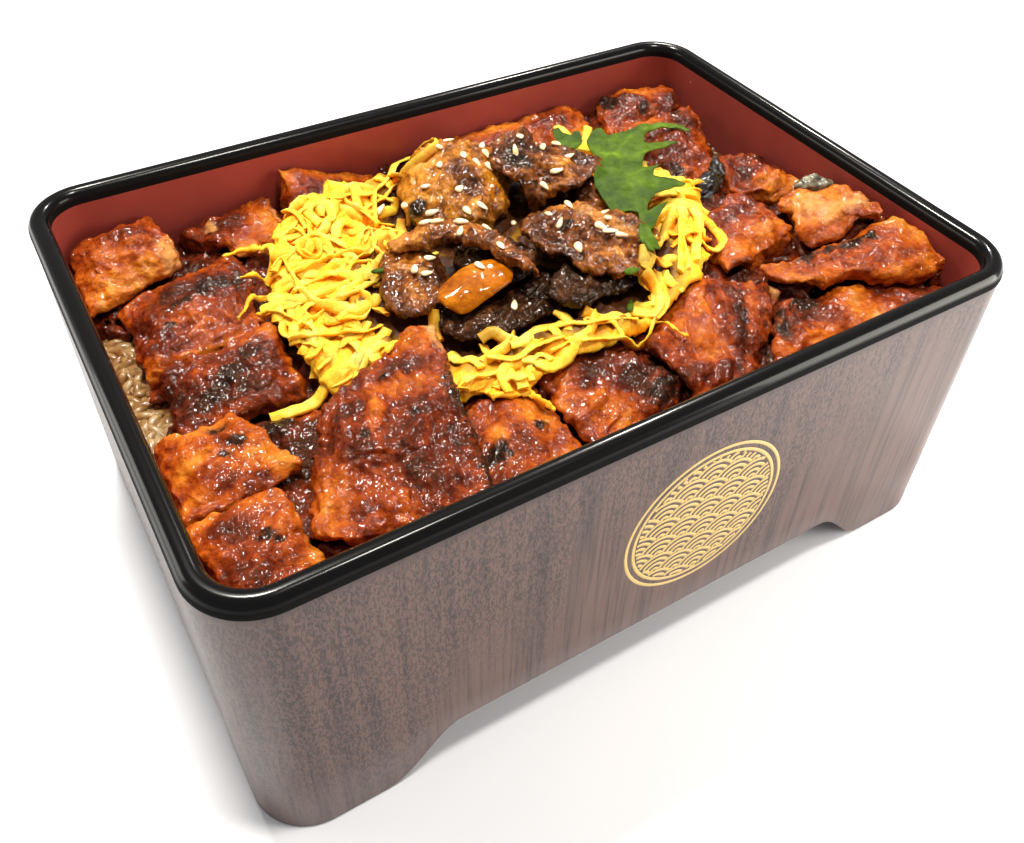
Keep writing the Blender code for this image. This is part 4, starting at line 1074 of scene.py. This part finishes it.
class Pile:
    """What lies on top in plan, on a grid of heights that rises as shreds are laid on it."""

    step = 0.5 * MM

    def __init__(self, search, low, high):
        """Surveys the food from above. The egg itself sinks a little, to make room for its shreds."""
        self.low = low
        self.shape = [int((b - a) / self.step) + 1 for a, b in zip(low, high)]
        self.heights = np.zeros(self.shape, np.float32)
        self.cover = np.zeros(self.shape, np.int32)
        self.owners = {}
        for i, j in np.ndindex(*self.shape):
            x, y = low[0] + i * self.step, low[1] + j * self.step
            height, owner = top_of(search, x, y)
            self.heights[i, j] = height - (0.8 * MM if owner == "egg" else 0.0)
            self.owners[i, j] = "leaf" if inside(LEAF_EDGE, x / MM, y / MM) else owner

    def cell(self, x, y):
        """The cell of a place, kept two cells off the border."""
        cells = (round((at - low) / self.step) for at, low in zip((x, y), self.low))
        return tuple(min(max(cell, 2), size - 3) for cell, size in zip(cells, self.shape))

    def height(self, x, y):
        """The height of the pile, evened over three cells."""
        i, j = self.cell(x, y)
        return float(self.heights[i - 1 : i + 2, j - 1 : j + 2].mean())

    def raise_to(self, x, y, height, reach):
        """Raises the pile round a place, and counts one more shred there."""
        i, j = self.cell(x, y)
        window = (slice(i - reach, i + reach + 1), slice(j - reach, j + reach + 1))
        self.heights[window] = np.maximum(self.heights[window], height)
        self.cover[window] += 1

    def lay(self, points, width, thickness, draw, lift=0.0):
        """The stops of a shred that lies over the pile along these places, bridging the hollows."""
        heights = [self.height(x, y) + 0.5 * thickness for x, y in points]
        last = len(points) - 1
        for _ in range(4):
            eased = list(heights)
            for i in range(1, last):
                eased[i] = max(heights[i], 0.5 * (heights[i - 1] + heights[i + 1]) - 0.04 * MM)
            heights = eased
        for _ in range(2):
            heights = [
                (heights[max(i - 1, 0)] + 2 * height + heights[min(i + 1, last)]) / 4
                for i, height in enumerate(heights)
            ]
        tilt, turning, line = draw.uniform(-0.6, 0.6), draw.uniform(-0.1, 0.1), []
        wave, beat = draw.uniform(0, math.tau), draw.uniform(0.5, 0.9)
        for i, ((x, y), height) in enumerate(zip(points, heights)):
            from_end = min(i, last - i)
            resting = height - 0.15 * thickness
            height += lift * max(0.0, math.sin(wave + beat * i)) * min(1.0, from_end / 4)
            tilt += turning + draw.uniform(-0.08, 0.08)
            tilt *= 0.97
            uneven = 1 + 0.35 * noise.noise(Vector((x, y, height)) / (3 * MM))
            line.append((x, y, height, uneven * min(1.0, 0.4 + 0.2 * from_end), tilt))
            self.raise_to(x, y, resting, max(1, round(0.35 * width / self.step)))
        return line


def stain_near(mesh, tree, near, far, most):
    """Stores how stained each vertex is by its distance from the meat. Little sauce is under the leaf."""
    amounts = []
    for vertex in mesh.vertices:
        hit = tree.find_nearest(vertex.co, far)
        distance = hit[3] if hit[0] else far
        bare = min(1.0, max(0.15, (42 * MM - vertex.co.x) / (6 * MM)))
        amounts.append(most * share((far - distance) / (far - near)) * bare)
    store(mesh, "sauce", amounts)


def omelette_material(name, stops):
    """Thin fried omelette: soft, matte, bright yellow and a little see-through, with painted shade that turns
    it deeper orange in its creases, on its undersides and where it lies under other shreds.
    """
    finish, add, place = start_material(name)
    clouds, pores = (
        add(
            "ShaderNodeTexNoise",
            {"Vector": place, "Scale": size_to_scale(size), "Detail": detail, "Roughness": 0.6},
        )
        for size, detail in ((5, 4.0), (0.8, 3.0))
    )
    crease_shade, sauce = (add("ShaderNodeAttribute", out="Fac", attribute_name=kind) for kind in ("crease_shade", "sauce"))
    warm = add("ShaderNodeMath", (pores, 0.5), operation="SUBTRACT")
    warm = add("ShaderNodeMath", (warm, 0.5, clouds), operation="MULTIPLY_ADD")
    # Painted shade: deeper orange where the egg lies buried under the pile's top or faces down.
    warm = add("ShaderNodeMath", (crease_shade, -0.36, warm), operation="MULTIPLY_ADD")
    yellow = add("ShaderNodeValToRGB", (warm,), stops=stops)
    soaked = add("ShaderNodeMix", {0: sauce, 6: yellow, 7: linear("#4A2408")}, out=2, data_type="RGBA")
    return end_material(
        finish,
        {
            "Base Color": soaked,
            "Normal": add("ShaderNodeBump", {"Strength": 0.35, "Distance": 0.3 * MM, "Height": pores}),
            "Roughness": 0.55, "Specular IOR Level": 0.25, "Subsurface Weight": 0.5,
            "Subsurface Radius": (1.0, 0.8, 0.3), "Subsurface Scale": 0.9 * MM,
        },
    )


class MEAL_OT_egg(bpy.types.Operator):
    """Lays the mound of shredded omelette, one shred on another"""

    bl_idname = "meal.egg"
    bl_label = "Shredded Egg"

    def execute(self, context):
        settings = context.scene.meal_egg
        draw = random.Random(settings.seed)
        low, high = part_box("egg")
        margin = 10 * MM
        search = survey([n for n in frame["nodes"] if n != "leaf"])
        pile = Pile(search, (low.x - margin, low.y - margin), (high.x + margin, high.y + margin))
        lines = []
        for _ in range(settings.count):
            width = settings.width * draw.choice((0.6, 0.8, 1.0, 1.0, 1.2, 1.5, 2.0))
            points = self.wander(pile, low, high, draw)
            x, y = points[0]
            sparse = x > 30 * MM or (x > -19 * MM and y < -12 * MM)
            if len(points) < 7 or (sparse and draw.random() < 0.7):
                continue
            lines.append((pile.lay(points, width, settings.thickness, draw, 0.8 * MM), width))
        for width, places in SHRED_PATHS:
            lines.append((pile.lay(self.along(places), width * MM, settings.thickness, draw), width * MM))
        stops = [
            [(x, y, z, radius * width / settings.width, tilt) for x, y, z, radius, tilt in line]
            for line, width in lines
        ]
        finish = omelette_material(
            "thin_omelette",
            ((0.0, "#E87808"), (0.2, "#F89C14"), (0.4, "#FFC42C"), (0.58, "#FFD850"), (0.85, "#FFE688")),
        )
        mesh = apply_tree(
            "omelette_shreds", curve_of("omelette_shreds", stops), ribbon_tree(),
            {
                "Material": finish, "Width": settings.width, "Thickness": settings.thickness, "Sides": 7,
                "Unevenness": 1.3 * MM, "Uneven Size": 2.2 * MM,
            },
        )
        meats, _ = survey(MEAT)
        stain_near(mesh, meats, 0.2 * MM, 3.5 * MM, 0.55)
        # How far each vertex lies under the pile's top or faces away from above, for the painted shade.
        crease_shades = [
            share((pile.height(v.co.x, v.co.y) - v.co.z) / (1.6 * MM) + 0.5 * (0.6 - v.normal.z))
            for v in mesh.vertices
        ]
        store(mesh, "crease_shade", crease_shades)
        finish_piece("omelette_shreds", mesh, ["egg"], finish)
        deep = omelette_material(
            "omelette_underneath", ((0.2, "#EE940E"), (0.5, "#FABA20"), (0.8, "#FFD640"))
        )
        core = fine_mesh("omelette_core", merged_copy("egg"), 0.7 * MM, 14)
        core.transform(Matrix.Translation((0, 0, -0.5 * MM)))
        core = apply_tree(
            "omelette_core", core, bpy.data.node_groups["crusty_relief"],
            {
                "Material": deep, "Lump Size": 3 * MM, "Lump Height": 1.4 * MM, "Ridge Size": 2.4 * MM,
                "Ridge Height": 1.6 * MM, "Grain Angle": 0.7, "Blister Height": 0.0,
            },
        )
        stain_near(core, meats, 4 * MM, 9 * MM, 1.0)
        finish_piece("omelette_core", core, ["egg"], deep)
        return {"FINISHED"}

    def along(self, places):
        """Evenly spaced points on a smooth curve through given places."""
        stops = [Vector(p) * MM for p in places]
        stops = [2 * stops[0] - stops[1], *stops, 2 * stops[-1] - stops[-2]]
        points = []
        for a, b, c, d in zip(stops, stops[1:], stops[2:], stops[3:]):
            count = max(2, round((c - b).length / SHRED_STEP))
            for t in (i / count for i in range(count)):
                curve = 2 * b + (c - a) * t + (2 * a - 5 * b + 4 * c - d) * t * t
                curve += (3 * b - a - 3 * c + d) * t**3
                points.append(tuple(curve / 2))
        return points + [tuple(stops[-2])]

    def wander(self, pile, low, high, draw):
        """Points of a loose shred that starts where the egg shows and curls at random."""
        open_places = []
        while len(open_places) < 6:
            x, y = place = draw.uniform(low.x, high.x), draw.uniform(low.y, high.y)
            under_meat = math.hypot((x / MM - 10) / 21, (y / MM - 12) / 25) < 1
            if pile.owners[pile.cell(x, y)] == "egg" and not under_meat:
                open_places.append(place)
        x, y = min(open_places, key=lambda place: pile.cover[pile.cell(*place)])
        heading, bend = draw.uniform(0, math.tau), draw.uniform(-0.15, 0.15)
        if draw.random() < 0.25:
            bend = draw.choice((-1, 1)) * draw.uniform(0.2, 0.3)
        points, outside = [(x, y)], 0
        for _ in range(draw.randint(14, 42)):
            heading += bend + draw.uniform(-0.16, 0.16)
            bend += draw.uniform(-0.03, 0.03)
            x, y = x + SHRED_STEP * math.cos(heading), y + SHRED_STEP * math.sin(heading)
            owner, height = pile.owners[pile.cell(x, y)], pile.height(x, y)
            if owner.startswith("meat_") or (owner == "leaf" and height > 65 * MM):
                break
            outside += owner != "egg"
            allowed = 0 if y < -12 * MM or x < -38 * MM else 2
            if outside > allowed or (owner != "egg" and height > 70 * MM):
                break
            points.append((x, y))
        return points


def rice_material():
    """Cooked rice steeped in sauce: plump, translucent, wet, tan to grey-brown, darker where sauce pooled,
    and darker still as painted shade where it shows only in the narrow gaps between the food.
    """
    finish, add, place = start_material("sauce_soaked_rice")
    clouds = add(
        "ShaderNodeTexNoise", {"Vector": place, "Scale": size_to_scale(4), "Detail": 3.0, "Roughness": 0.65}
    )
    sauce_and_gap_shade = add("ShaderNodeAttribute", out="Fac", attribute_name="sauce_and_gap_shade")
    # Darker by the sauce and by painted shade in the gaps.
    warm = add("ShaderNodeMath", (sauce_and_gap_shade, -0.6, clouds), operation="MULTIPLY_ADD")
    stops = ((0.0, "#4E2E18"), (0.15, "#643E1C"), (0.36, "#7A4E22"), (0.52, "#927040"), (0.7, "#BCA074"))
    return end_material(
        finish,
        {
            "Base Color": add("ShaderNodeValToRGB", (warm,), stops=stops), "Roughness": 0.32,
            "Subsurface Weight": 0.35, "Subsurface Radius": (1.0, 0.6, 0.35), "Subsurface Scale": 1.5 * MM,
            "Specular IOR Level": 0.4, "Coat Weight": 0.3, "Coat Roughness": 0.15,
        },
    )


def scattered(add, get, points, grain, facing, turn, smallest, largest):
    """One grain on every point, turned, and each of its own size."""
    size = add(
        "FunctionNodeRandomValue", {0: smallest, 1: largest, "Seed": get["Seed"]}, data_type="FLOAT_VECTOR"
    )
    turned = add(
        "FunctionNodeRotateRotation", {"Rotation": facing, "Rotate By": turn}, rotation_space="LOCAL"
    )
    return add(
        "GeometryNodeInstanceOnPoints",
        {"Points": points, "Instance": grain, "Rotation": turned, "Scale": size},
    )


def grain_tree():
    """Scatters grains over a surface where it is open, lying nearly flat, and joins them with it."""
    tree, add, get = start_tree(
        "scattered_grains", {"Length": 6 * MM, "Width": 2.5 * MM, "Spacing": 1.7 * MM, "Seed": 1}
    )
    open_share = add("GeometryNodeInputNamedAttribute", {"Name": "open"}, data_type="FLOAT")
    points = add(
        "GeometryNodeDistributePointsOnFaces",
        {
            "Mesh": get["Geometry"], "Distance Min": get["Spacing"], "Density Max": 600000.0,
            "Density Factor": open_share, "Seed": get["Seed"],
        },
        distribute_method="POISSON",
    )
    ball = add("GeometryNodeMeshUVSphere", {"Segments": 8, "Rings": 6, "Radius": 0.5})
    shape = add("ShaderNodeCombineXYZ", (get["Length"], get["Width"], get["Width"]))
    grain = add("GeometryNodeTransform", {"Geometry": ball, "Scale": shape})
    turn = add(
        "FunctionNodeRandomValue", {0: (-0.25, -0.35, 0.0), 1: (0.25, 0.35, math.tau), "Seed": get["Seed"]},
        data_type="FLOAT_VECTOR",
    )
    facing = points.node.outputs["Rotation"]
    grains = scattered(add, get, points, grain, facing, turn, (0.8, 0.85, 0.75), (1.1, 1.1, 1.0))
    joined = add("GeometryNodeJoinGeometry", (get["Geometry"],))
    fill(joined.node, (add("GeometryNodeRealizeInstances", (grains,)),))
    return end_tree(tree, add, get, joined)


class MEAL_OT_rice(bpy.types.Operator):
    """Fills the box with rice, in loose grains where it shows"""

    bl_idname = "meal.rice"
    bl_label = "Bed of Rice"

    def execute(self, context):
        core = fine_mesh("rice_bed", merged_copy("rice"), 1.7 * MM, 2)
        core.transform(Matrix.Translation((0, 0, -0.8 * MM)))
        tree, _ = survey([n for n in frame["nodes"] if n not in ("rice", "box", "leaf")])
        open_share = np.zeros(len(core.vertices), np.float32)
        sauce_and_gap_shade = np.ones(len(core.vertices), np.float32)
        reach, hidden_below = 2.5 * MM, 45 * MM
        around = ((0, 0), (reach, 0), (-reach, 0), (0, reach), (0, -reach))
        for vertex in core.vertices:
            x, y, z = vertex.co
            if z < hidden_below:
                continue
            spots = (Vector((x + dx, y + dy, z + 0.5 * MM)) for dx, dy in around)
            open_share[vertex.index] = any(tree.ray_cast(spot, UP)[0] is None for spot in spots)
            # Lighter only along the left wall; elsewhere the rice shows only in narrow gaps and is darker,
            # partly from sauce and partly as painted shade.
            sauce_and_gap_shade[vertex.index] = share((x + 78 * MM) / (6 * MM))
        store(core, "open", open_share)
        store(core, "sauce_and_gap_shade", sauce_and_gap_shade)
        finish = rice_material()
        mesh = apply_tree("rice_bed", core, grain_tree(), {"Material": finish})
        finish_piece("rice_bed", mesh, ["rice"], finish)
        return {"FINISHED"}


def simmered_material(name, stops, coat, beads):
    """Meat simmered in soy and sugar: fibrous and sticky, dark where lean, amber where it is fat or skin.
    The near-black ramp of the low pieces under the heap is partly painted shade.
    """
    finish, add, place = start_material(name)
    # The strong relief weight makes the crests lighter and the hollows darker: painted light and shade.
    warm, patches, mottle, char, pale = marked_flesh(
        add, place, (5, 1.3), 0.42, {"patches": 1.1, "mottle": 1.0, "gold": 0.3, "deep": -0.25, "relief": 0.9}
    )
    colour = add("ShaderNodeValToRGB", (warm,), stops=stops)
    for mark, weight, start, end, code in (
        (pale, 1.4, 1.05, 2.2, "#CF9C58"), (char, 0.8, 0.8, 1.2, "#120D0A"),
    ):
        amount = add("ShaderNodeMath", (mottle, weight, mark), operation="MULTIPLY_ADD")
        amount = add("ShaderNodeMapRange", (amount, start, end))
        colour = add("ShaderNodeMix", {0: amount, 6: colour, 7: linear(code)}, out=2, data_type="RGBA")
    return end_material(
        finish,
        {
            "Base Color": colour, "Roughness": add("ShaderNodeMapRange", (patches, 0.35, 0.65, 0.25, 0.5)),
            "Normal": add("ShaderNodeBump", {"Strength": 0.6, "Distance": 0.5 * MM, "Height": mottle}),
            "Subsurface Weight": 0.08, "Subsurface Radius": (1.0, 0.4, 0.15), "Subsurface Scale": 1.5 * MM,
            "Coat Weight": coat, **beaded_syrup(add, place, beads, 0.45, 0.1),
        },
    )


class MEAL_OT_meat(bpy.types.Operator):
    """Heaps the simmered meat on the egg"""

    bl_idname = "meal.meat"
    bl_label = "Simmered Meat"

    def execute(self, context):
        gloss = {"dark": (0.4, 1.4), "brown": (0.7, 1.4), "light": (0.7, 1.4), "amber": (0.4, 3.0)}
        finishes = {
            look: simmered_material(f"simmered_meat_{look}", stops, *gloss[look])
            for look, stops in MEAT_RAMPS.items()
        }
        relief = bpy.data.node_groups["crusty_relief"]
        for number, node in enumerate(MEAT):
            look, lump, lump_height, ridge, ridge_height, grain, blister, marks = MEAT_LOOKS[node]
            amber = look == "amber"
            dense = fine_mesh(node, merged_copy(node), *((0.6 * MM, 60) if amber else (0.4 * MM, 10)))
            mesh = apply_tree(
                node, dense, relief,
                {
                    "Material": finishes[look], "Lump Size": lump * MM, "Lump Height": lump_height * MM,
                    "Ridge Size": ridge * MM, "Ridge Height": ridge_height * MM,
                    "Grain Angle": math.radians(grain), "Blister Size": 1.3 * MM,
                    "Blister Height": blister * MM, "Waviness": (0.0 if amber else 0.9) * MM,
                    "Seed": 50 + 2.9 * number,
                },
            )
            paint(mesh, marks)
            finish_piece(f"simmered_{node}", mesh, [node], finishes[look])
        return {"FINISHED"}


def seed_tree():
    """Puts a drop-shaped seed on every point, laid along the surface and turned by the point's own angle."""
    tree, add, get = start_tree(
        "sesame_seeds", {"Length": 3.4 * MM, "Width": 1.8 * MM, "Thickness": 1.0 * MM, "Seed": 3}
    )
    ball = add("GeometryNodeMeshUVSphere", {"Segments": 12, "Rings": 9, "Radius": 0.5})
    x, y, z = add("ShaderNodeSeparateXYZ", (add("GeometryNodeInputPosition"),)).node.outputs
    waist = add("ShaderNodeMath", (x, -0.75, 0.92), operation="MULTIPLY_ADD")
    y, z = (add("ShaderNodeMath", (side, waist), operation="MULTIPLY") for side in (y, z))
    slim = add("ShaderNodeCombineXYZ", (x, y, z))
    drop = add("GeometryNodeSetPosition", {"Geometry": ball, "Position": slim})
    shape = add("ShaderNodeCombineXYZ", (get["Length"], get["Width"], get["Thickness"]))
    seed = add("GeometryNodeTransform", {"Geometry": drop, "Scale": shape})
    up, angle = (
        add("GeometryNodeInputNamedAttribute", {"Name": name}, data_type=kind)
        for name, kind in (("up", "FLOAT_VECTOR"), ("angle", "FLOAT"))
    )
    flat = add("FunctionNodeAlignRotationToVector", {"Factor": 1.0, "Vector": up}, axis="Z")
    spin = add("ShaderNodeCombineXYZ", (0.0, 0.0, angle))
    seeds = scattered(add, get, get["Geometry"], seed, flat, spin, (0.85, 0.85, 0.9), (1.1, 1.1, 1.1))
    return end_tree(tree, add, get, seeds)


def sesame_material():
    """Toasted white sesame: cream husk, a little browner at the tip, with a dull oily shine."""
    finish, add, place = start_material("toasted_sesame")
    toast = add("ShaderNodeTexNoise", {"Vector": place, "Scale": size_to_scale(1.5), "Detail": 3.0})
    stops = ((0.3, "#D9B071"), (0.5, "#F2DDB0"), (0.7, "#FBF0D2"))
    return end_material(
        finish,
        {
            "Base Color": add("ShaderNodeValToRGB", (toast,), stops=stops), "Roughness": 0.4,
            "Subsurface Weight": 0.2, "Subsurface Scale": 0.8 * MM, "Coat Weight": 0.3, "Coat Roughness": 0.2,
        },
    )


class MEAL_OT_seeds(bpy.types.Operator):
    """Sprinkles sesame seeds and chopped herb on the meat"""

    bl_idname = "meal.seeds"
    bl_label = "Sesame Seeds"

    def execute(self, context):
        trees = []
        for piece in context.scene.objects:
            if piece.name.startswith(("simmered_", "omelette_", "glazed_")):
                bm = bmesh.new()
                bm.from_mesh(piece.data)
                trees.append(BVHTree.FromBMesh(bm))
                bm.free()
        scatter = seed_tree()
        self.sprinkle("sesame_seeds", SEEDS, trees, scatter, {}, sesame_material(), "sesame")
        size = {"Length": 4.4 * MM, "Width": 1.7 * MM, "Thickness": 0.9 * MM}
        green = bpy.data.materials["fresh_green_leaf"]
        self.sprinkle("chopped_herb", HERB, trees, scatter, size, green, "leaf")
        return {"FINISHED"}

    def sprinkle(self, name, places, trees, scatter, size, finish, slot):
        """Lays one seed or sliver on top of the food at each place."""
        points, ups, angles = [], [], []
        for x, y, angle in places:
            hits = [look_down(tree, x * MM, y * MM)[:2] for tree in trees]
            spot, up = max((hit for hit in hits if hit[0]), key=lambda hit: hit[0].z)
            up = (up + 0.6 * UP).normalized()
            points.append(spot + up * 0.3 * MM)
            ups.extend(up)
            turned = UP.rotation_difference(up) @ Vector((1, 0, 0))
            angles.append(math.radians(angle) - math.atan2(turned.y, turned.x))
        mesh = bpy.data.meshes.new(name)
        mesh.from_pydata(points, [], [])
        mesh.attributes.new("up", "FLOAT_VECTOR", "POINT").data.foreach_set("vector", ups)
        store(mesh, "angle", angles)
        finish_piece(name, apply_tree(name, mesh, scatter, {"Material": finish, **size}), [], finish)


def leaf_material():
    """Fresh green leaf: fine net of veins, matte with a soft waxy shine, lighter along the ribs."""
    finish, add, place = start_material("fresh_green_leaf")
    clouds = add(
        "ShaderNodeTexNoise", {"Vector": place, "Scale": size_to_scale(9), "Detail": 4.0, "Roughness": 0.6}
    )
    net = add(
        "ShaderNodeTexVoronoi", {"Vector": place, "Scale": size_to_scale(1.6)}, feature="DISTANCE_TO_EDGE"
    )
    vein = add("ShaderNodeMapRange", (net, 0.0, 0.12, 0.05, 0.0))
    rib = add("ShaderNodeAttribute", out="Fac", attribute_name="rib")
    warm = add("ShaderNodeMath", (clouds, vein), operation="ADD")
    warm = add("ShaderNodeMath", (rib, 0.12, warm), operation="MULTIPLY_ADD")
    stops = ((0.25, "#1E3008"), (0.42, "#324A0A"), (0.6, "#47600C"), (0.9, "#6C8A1A"))
    return end_material(
        finish,
        {
            "Base Color": add("ShaderNodeValToRGB", (warm,), stops=stops), "Roughness": 0.6,
            "Normal": add("ShaderNodeBump", {"Strength": 0.4, "Distance": 0.25 * MM, "Height": net}),
            "Subsurface Weight": 0.15, "Subsurface Radius": (0.4, 1.0, 0.15), "Subsurface Scale": 0.8 * MM,
            "Specular IOR Level": 0.15,
        },
    )


class MEAL_OT_leaf(bpy.types.Operator):
    """Lays the toothed green leaf beside the meat"""

    bl_idname = "meal.leaf"
    bl_label = "Green Leaf"

    def execute(self, context):
        finish = leaf_material()
        below, _ = survey([n for n in frame["nodes"] if n not in ("leaf", "egg")])
        shreds = bpy.data.objects["omelette_shreds"].data
        egg = BVHTree.FromPolygons([v.co for v in shreds.vertices], [p.vertices for p in shreds.polygons])
        for name, edge, level, nodes in (
            ("green_leaf", LEAF_EDGE, 70.5 * MM, ["leaf"]), ("green_leaf_back", LEAF_BACK_EDGE, 70 * MM, []),
        ):
            bm = self.flat_blade(edge, level)
            self.drape(bm, level, (below, egg))
            bmesh.ops.recalc_face_normals(bm, faces=bm.faces)
            mesh = mesh_of(name, bm)
            self.mark_veins(mesh)
            thing = link_object(name, mesh)
            thicken = thing.modifiers.new("thickness", "SOLIDIFY")
            thicken.thickness, thicken.offset = 0.4 * MM, 0.0
            soften = thing.modifiers.new("soften", "SUBSURF")
            soften.levels = soften.render_levels = 1
            finish_piece(name, bake_modifiers(thing), nodes, finish)
        return {"FINISHED"}

    def flat_blade(self, edge, level):
        """A flat leaf within an outline, in small even triangles."""
        bm = bmesh.new()
        bm.faces.new([bm.verts.new((x * MM, y * MM, level)) for x, y in edge])
        bmesh.ops.triangulate(bm, faces=bm.faces)
        for _ in range(5):
            long_edges = [e for e in bm.edges if e.calc_length() > 1.3 * MM]
            bmesh.ops.subdivide_edges(bm, edges=long_edges, cuts=1)
            bmesh.ops.triangulate(bm, faces=bm.faces)
            bmesh.ops.beautify_fill(bm, faces=bm.faces, edges=[e for e in bm.edges if len(e.link_faces) == 2])
        return bm

    def drape(self, bm, level, trees):
        """Crowns the leaf, lays it over the food and crinkles it."""
        floor = {}
        for v in bm.verts:
            x, y, _ = v.co
            hits = [look_down(tree, x, y)[0] for tree in trees]
            floor[v] = max((hit.z for hit in hits if hit), default=FLOOR_TOP) + 0.6 * MM
            far = ((x - 40 * MM) / (12 * MM)) ** 2 + ((y - 12 * MM) / (14 * MM)) ** 2
            crown = 1.8 * MM * math.exp(-far)
            v.co.z = max(level + crown - 0.09 * max(0.0, x - 50 * MM), floor[v])
        for rounds, keep_above in ((12, 0.3 * MM), (3, math.inf)):
            for _ in range(rounds):
                bmesh.ops.smooth_vert(bm, verts=bm.verts, factor=0.5, use_axis_z=True)
            for v in bm.verts:
                v.co.z = max(v.co.z, floor[v] - keep_above)
        for v in bm.verts:
            flat = Vector((v.co.x, v.co.y, 0))
            v.co.z += 0.7 * MM * noise.noise(flat / (3.2 * MM)) + 0.3 * MM * noise.noise(flat / (1.4 * MM))

    def mark_veins(self, mesh):
        """Stores how close each vertex is to a vein."""
        ribs = [(Vector(a), Vector(b)) for vein in LEAF_VEINS for a, b in zip(vein, vein[1:])]
        amounts = []
        for v in mesh.vertices:
            place = v.co.xy / MM
            nearest = min(
                (place - a.lerp(b, share((place - a).dot(b - a) / (b - a).length_squared))).length
                for a, b in ribs
            )
            amounts.append(max(0.0, 1.0 - nearest))
        store(mesh, "rib", amounts)


class StageSettings(bpy.types.PropertyGroup):
    """The studio round the box."""

    floor_colour: colour_setting("Floor", "Colour of the studio floor", "#F8FAFF")
    key_power: bpy.props.FloatProperty(
        name="Key Light", description="Power of the main soft light", default=7.0, unit="POWER"
    )
    light_colour: bpy.props.FloatVectorProperty(
        name="Light Colour", description="Slightly warm colour of the lights", default=(1.0, 0.95, 0.87),
        subtype="COLOR", size=3,
    )
    sky: bpy.props.FloatProperty(
        name="Sky", description="Brightness of the pale surroundings", default=0.3, min=0.0
    )


class MEAL_OT_stage(bpy.types.Operator):
    """Sets the pale floor, the soft lights and the photo's camera"""

    bl_idname = "meal.stage"
    bl_label = "Studio and Camera"

    def execute(self, context):
        scene, settings = context.scene, context.scene.meal_stage
        bm = bmesh.new()
        bmesh.ops.create_grid(bm, x_segments=1, y_segments=1, size=3.0)
        mesh = mesh_of("studio_floor", bm)
        finish, _, _ = start_material("studio_paper")
        end_material(finish, {"Base Color": (*settings.floor_colour, 1.0), "Roughness": 0.8})
        mesh.materials.append(finish)
        link_object("studio_floor", mesh)
        world = bpy.data.worlds.new("pale_studio")
        world.use_nodes = True
        fill(world.node_tree.nodes["Background"], {"Color": (1.0, 1.0, 1.0, 1.0), "Strength": settings.sky})
        scene.world = world
        for name, spot, size, power in (
            ("key_softbox", (-0.06, 0.3, 0.8), 0.1, 1.0),
            ("back_softbox", (0.4, 0.45, 0.65), 0.08, 0.5),
            ("right_fill", (0.34, -0.3, 0.14), 0.26, 0.28),
            ("left_fill", (-0.6, 0.4, 0.2), 0.3, 0.16),
            ("top_softbox", (0.1, -0.15, 0.8), 0.1, 0.5),
        ):
            data = bpy.data.lights.new(name, "AREA")
            data.shape, data.size, data.energy = "SQUARE", size, settings.key_power * power
            data.color = settings.light_colour
            light = link_object(name, data)
            light.location = spot
            light.rotation_euler = (Vector((0, 0, 0.05)) - Vector(spot)).to_track_quat("-Z", "Y").to_euler()
        self.place_camera(scene)
        scene.view_settings.view_transform = "Standard"
        return {"FINISHED"}

    def place_camera(self, scene):
        """Stands the camera where the photo's stood, with its turn, its lens and its shifted centre."""
        sy, cy = math.sin(CAMERA_YAW), math.cos(CAMERA_YAW)
        sp, cp = math.sin(CAMERA_PITCH), math.cos(CAMERA_PITCH)
        forward = Vector((sy * cp, cy * cp, -sp))
        level = Vector((cy, -sy, 0))
        upward = level.cross(forward)
        right = math.cos(CAMERA_ROLL) * level + math.sin(CAMERA_ROLL) * upward
        up = math.cos(CAMERA_ROLL) * upward - math.sin(CAMERA_ROLL) * level
        data = bpy.data.cameras.new("photo_camera")
        data.sensor_fit, data.sensor_width = "HORIZONTAL", SENSOR_WIDTH
        data.lens = SENSOR_WIDTH * FOCAL_PIXELS / PICTURE_WIDTH
        data.shift_x = (PICTURE_WIDTH / 2 - OPTICAL_CENTRE[0]) / PICTURE_WIDTH
        data.shift_y = (OPTICAL_CENTRE[1] - PICTURE_HEIGHT / 2) / PICTURE_WIDTH
        data.clip_start = 0.001
        data.dof.use_dof = False
        camera = link_object("photo_camera", data)
        turn = Matrix((right, up, -forward)).transposed()
        camera.matrix_world = Matrix.Translation(CAMERA_PLACE) @ turn.to_4x4()
        scene.camera = camera


class MEAL_PT_panel(bpy.types.Panel):
    """Lists the sizes, the finishes and the steps"""

    bl_idname = "MEAL_PT_panel"
    bl_label = "Grilled Eel on Rice"
    bl_space_type = "VIEW_3D"
    bl_region_type = "UI"
    bl_category = "Boxed Meal"

    def draw(self, context):
        for name, group in GROUPS.items():
            box = self.layout.box()
            for setting in group.__annotations__:
                box.prop(getattr(context.scene, name), setting)
        for step in STEPS:
            self.layout.operator(step.bl_idname)


STEPS = (
    MEAL_OT_stage, MEAL_OT_box, MEAL_OT_rice, MEAL_OT_eel, MEAL_OT_flakes, MEAL_OT_egg, MEAL_OT_meat,
    MEAL_OT_leaf, MEAL_OT_seeds,
)
GROUPS = {
    "meal_box": BoxSettings, "meal_food": FoodSettings, "meal_egg": EggSettings, "meal_stage": StageSettings,
}


def register():
    for name, group in GROUPS.items():
        bpy.utils.register_class(group)
        setattr(bpy.types.Scene, name, bpy.props.PointerProperty(type=group))
    for step in (*STEPS, MEAL_PT_panel):
        bpy.utils.register_class(step)


def unregister():
    for step in (MEAL_PT_panel, *reversed(STEPS)):
        bpy.utils.unregister_class(step)
    for name, group in reversed(GROUPS.items()):
        delattr(bpy.types.Scene, name)
        bpy.utils.unregister_class(group)


def main():
    register()
    for step in STEPS:
        group, name = step.bl_idname.split(".")
        getattr(getattr(bpy.ops, group), name)()


if __name__ == "__main__":
    main()
